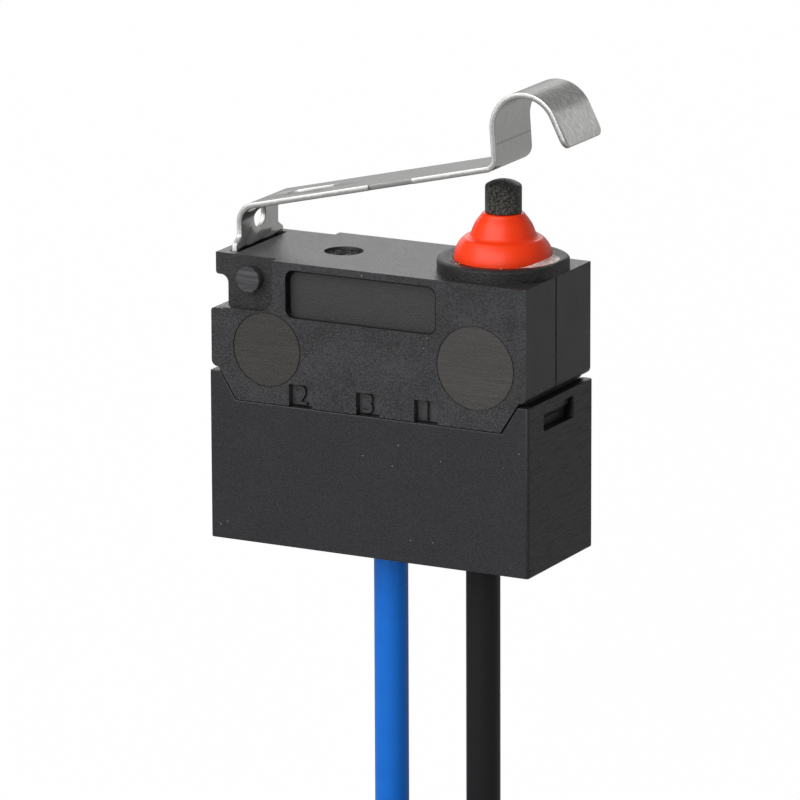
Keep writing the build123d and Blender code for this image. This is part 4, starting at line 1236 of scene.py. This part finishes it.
        notch_from, notch_to = (arm_place(x) for x in NOTCH)
        slot_from, slot_to = (arm_place(x) for x in SLOT)
        flare = []
        for step in range(11):
            share = step / 10
            eased = share * share * (3 - 2 * share)
            flare.append((EAR_END + (NECK_START - EAR_END) * share, EAR + (NECK - EAR) * eased))
        outline = [(0.0, -EAR)] + [(x, -half) for x, half in flare] + [(arm_start, -HALF_WIDTH)]
        outline += [(notch_from, -HALF_WIDTH), (notch_from, -HALF_WIDTH + NOTCH_DEPTH)]
        outline += [(notch_to, -HALF_WIDTH + NOTCH_DEPTH), (notch_to, -HALF_WIDTH)]
        outline += arc_points(total - TIP_RADIUS, -HALF_WIDTH + TIP_RADIUS, TIP_RADIUS, -90, 0)
        outline += arc_points(total - TIP_RADIUS, HALF_WIDTH - TIP_RADIUS, TIP_RADIUS, 0, 90)
        outline += [(arm_start, HALF_WIDTH), *reversed(flare), (0.0, EAR)]
        hole = arc_points(HOLE_PLACE, 0.0, HOLE_RADIUS, 0, 360, 48)[:-1]
        slot = arc_points(slot_to - SLOT_HALF, 0.0, SLOT_HALF, -90, 90, 20)
        slot += arc_points(slot_from + SLOT_HALF, 0.0, SLOT_HALF, 90, 270, 20)
        curve = bpy.data.curves.new("lever_blank", "CURVE")
        curve.dimensions = "2D"
        curve.fill_mode = "BOTH"
        for ring in (outline, hole, slot):
            spline = curve.splines.new("POLY")
            spline.points.add(len(ring) - 1)
            for point, (x, y) in zip(spline.points, ring):
                point.co = (x, y, 0.0, 1.0)
            spline.use_cyclic_u = True
        curve.extrude = STRIP / 2 - ease
        curve.bevel_depth = ease
        curve.bevel_resolution = 2
        curve.offset = -ease
        holder = bpy.data.objects.new("lever_blank", curve)
        blank = bpy.data.meshes.new_from_object(holder)
        bpy.data.objects.remove(holder)
        bpy.data.curves.remove(curve)
        return blank


CARRIED_OVER = {
    "potting_compound": "poured_epoxy",
    "normally_closed_terminal": "stamped_brass",
    "normally_open_terminal": "stamped_brass",
    "common_terminal": "stamped_brass",
    "normally_closed_contact": "riveted_silver",
    "normally_open_contact": "riveted_silver",
    "moving_contact": "riveted_silver",
    "contact_blade": "stamped_beryllium_copper",
    "snap_spring": "drawn_stainless_wire",
    "blue_conductor": "tinned_copper_strand",
    "black_conductor": "tinned_copper_strand",
    "open_solder_joint": "tin_solder",
    "common_solder_joint": "tin_solder",
}


class SWITCH_OT_inside(bpy.types.Operator):
    """Gives the carried-over solids of the inside their finishes"""

    bl_idname = "switch.inside"
    bl_label = "Inside finishes"

    def execute(self, context):
        for node, finish in CARRIED_OVER.items():
            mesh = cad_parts[node].data
            mesh.materials.clear()
            mesh.materials.append(material(finish))
        return {"FINISHED"}


class SWITCH_PT_dressing(bpy.types.Panel):
    """Lists the switch's pieces and their sizes and colours"""

    bl_label = "Micro Switch"
    bl_idname = "SWITCH_PT_dressing"
    bl_space_type = "VIEW_3D"
    bl_region_type = "UI"
    bl_category = "Switch"

    def draw(self, context):
        column = self.layout.column()
        for operator in OPERATORS:
            column.operator(operator.bl_idname)
        for group in (context.scene.switch_sizes, context.scene.switch_colours):
            for name in group.__annotations__:
                column.prop(group, name)


OPERATORS = (SWITCH_OT_stage, SWITCH_OT_leads, SWITCH_OT_housing, SWITCH_OT_boot, SWITCH_OT_lever, SWITCH_OT_inside)
CLASSES = (SwitchSizes, SwitchColours) + OPERATORS + (SWITCH_PT_dressing,)


def register():
    """Registers the classes and their settings."""
    for cls in CLASSES:
        bpy.utils.register_class(cls)
    bpy.types.Scene.switch_sizes = bpy.props.PointerProperty(type=SwitchSizes)
    bpy.types.Scene.switch_colours = bpy.props.PointerProperty(type=SwitchColours)


def unregister():
    """Takes the classes and their settings away again."""
    del bpy.types.Scene.switch_colours
    del bpy.types.Scene.switch_sizes
    for cls in reversed(CLASSES):
        bpy.utils.unregister_class(cls)


def main():
    """Builds everything in order."""
    register()
    bpy.ops.switch.stage()
    bpy.ops.switch.leads()
    bpy.ops.switch.housing()
    bpy.ops.switch.boot()
    bpy.ops.switch.lever()
    bpy.ops.switch.inside()


if __name__ == "__main__":
    main()
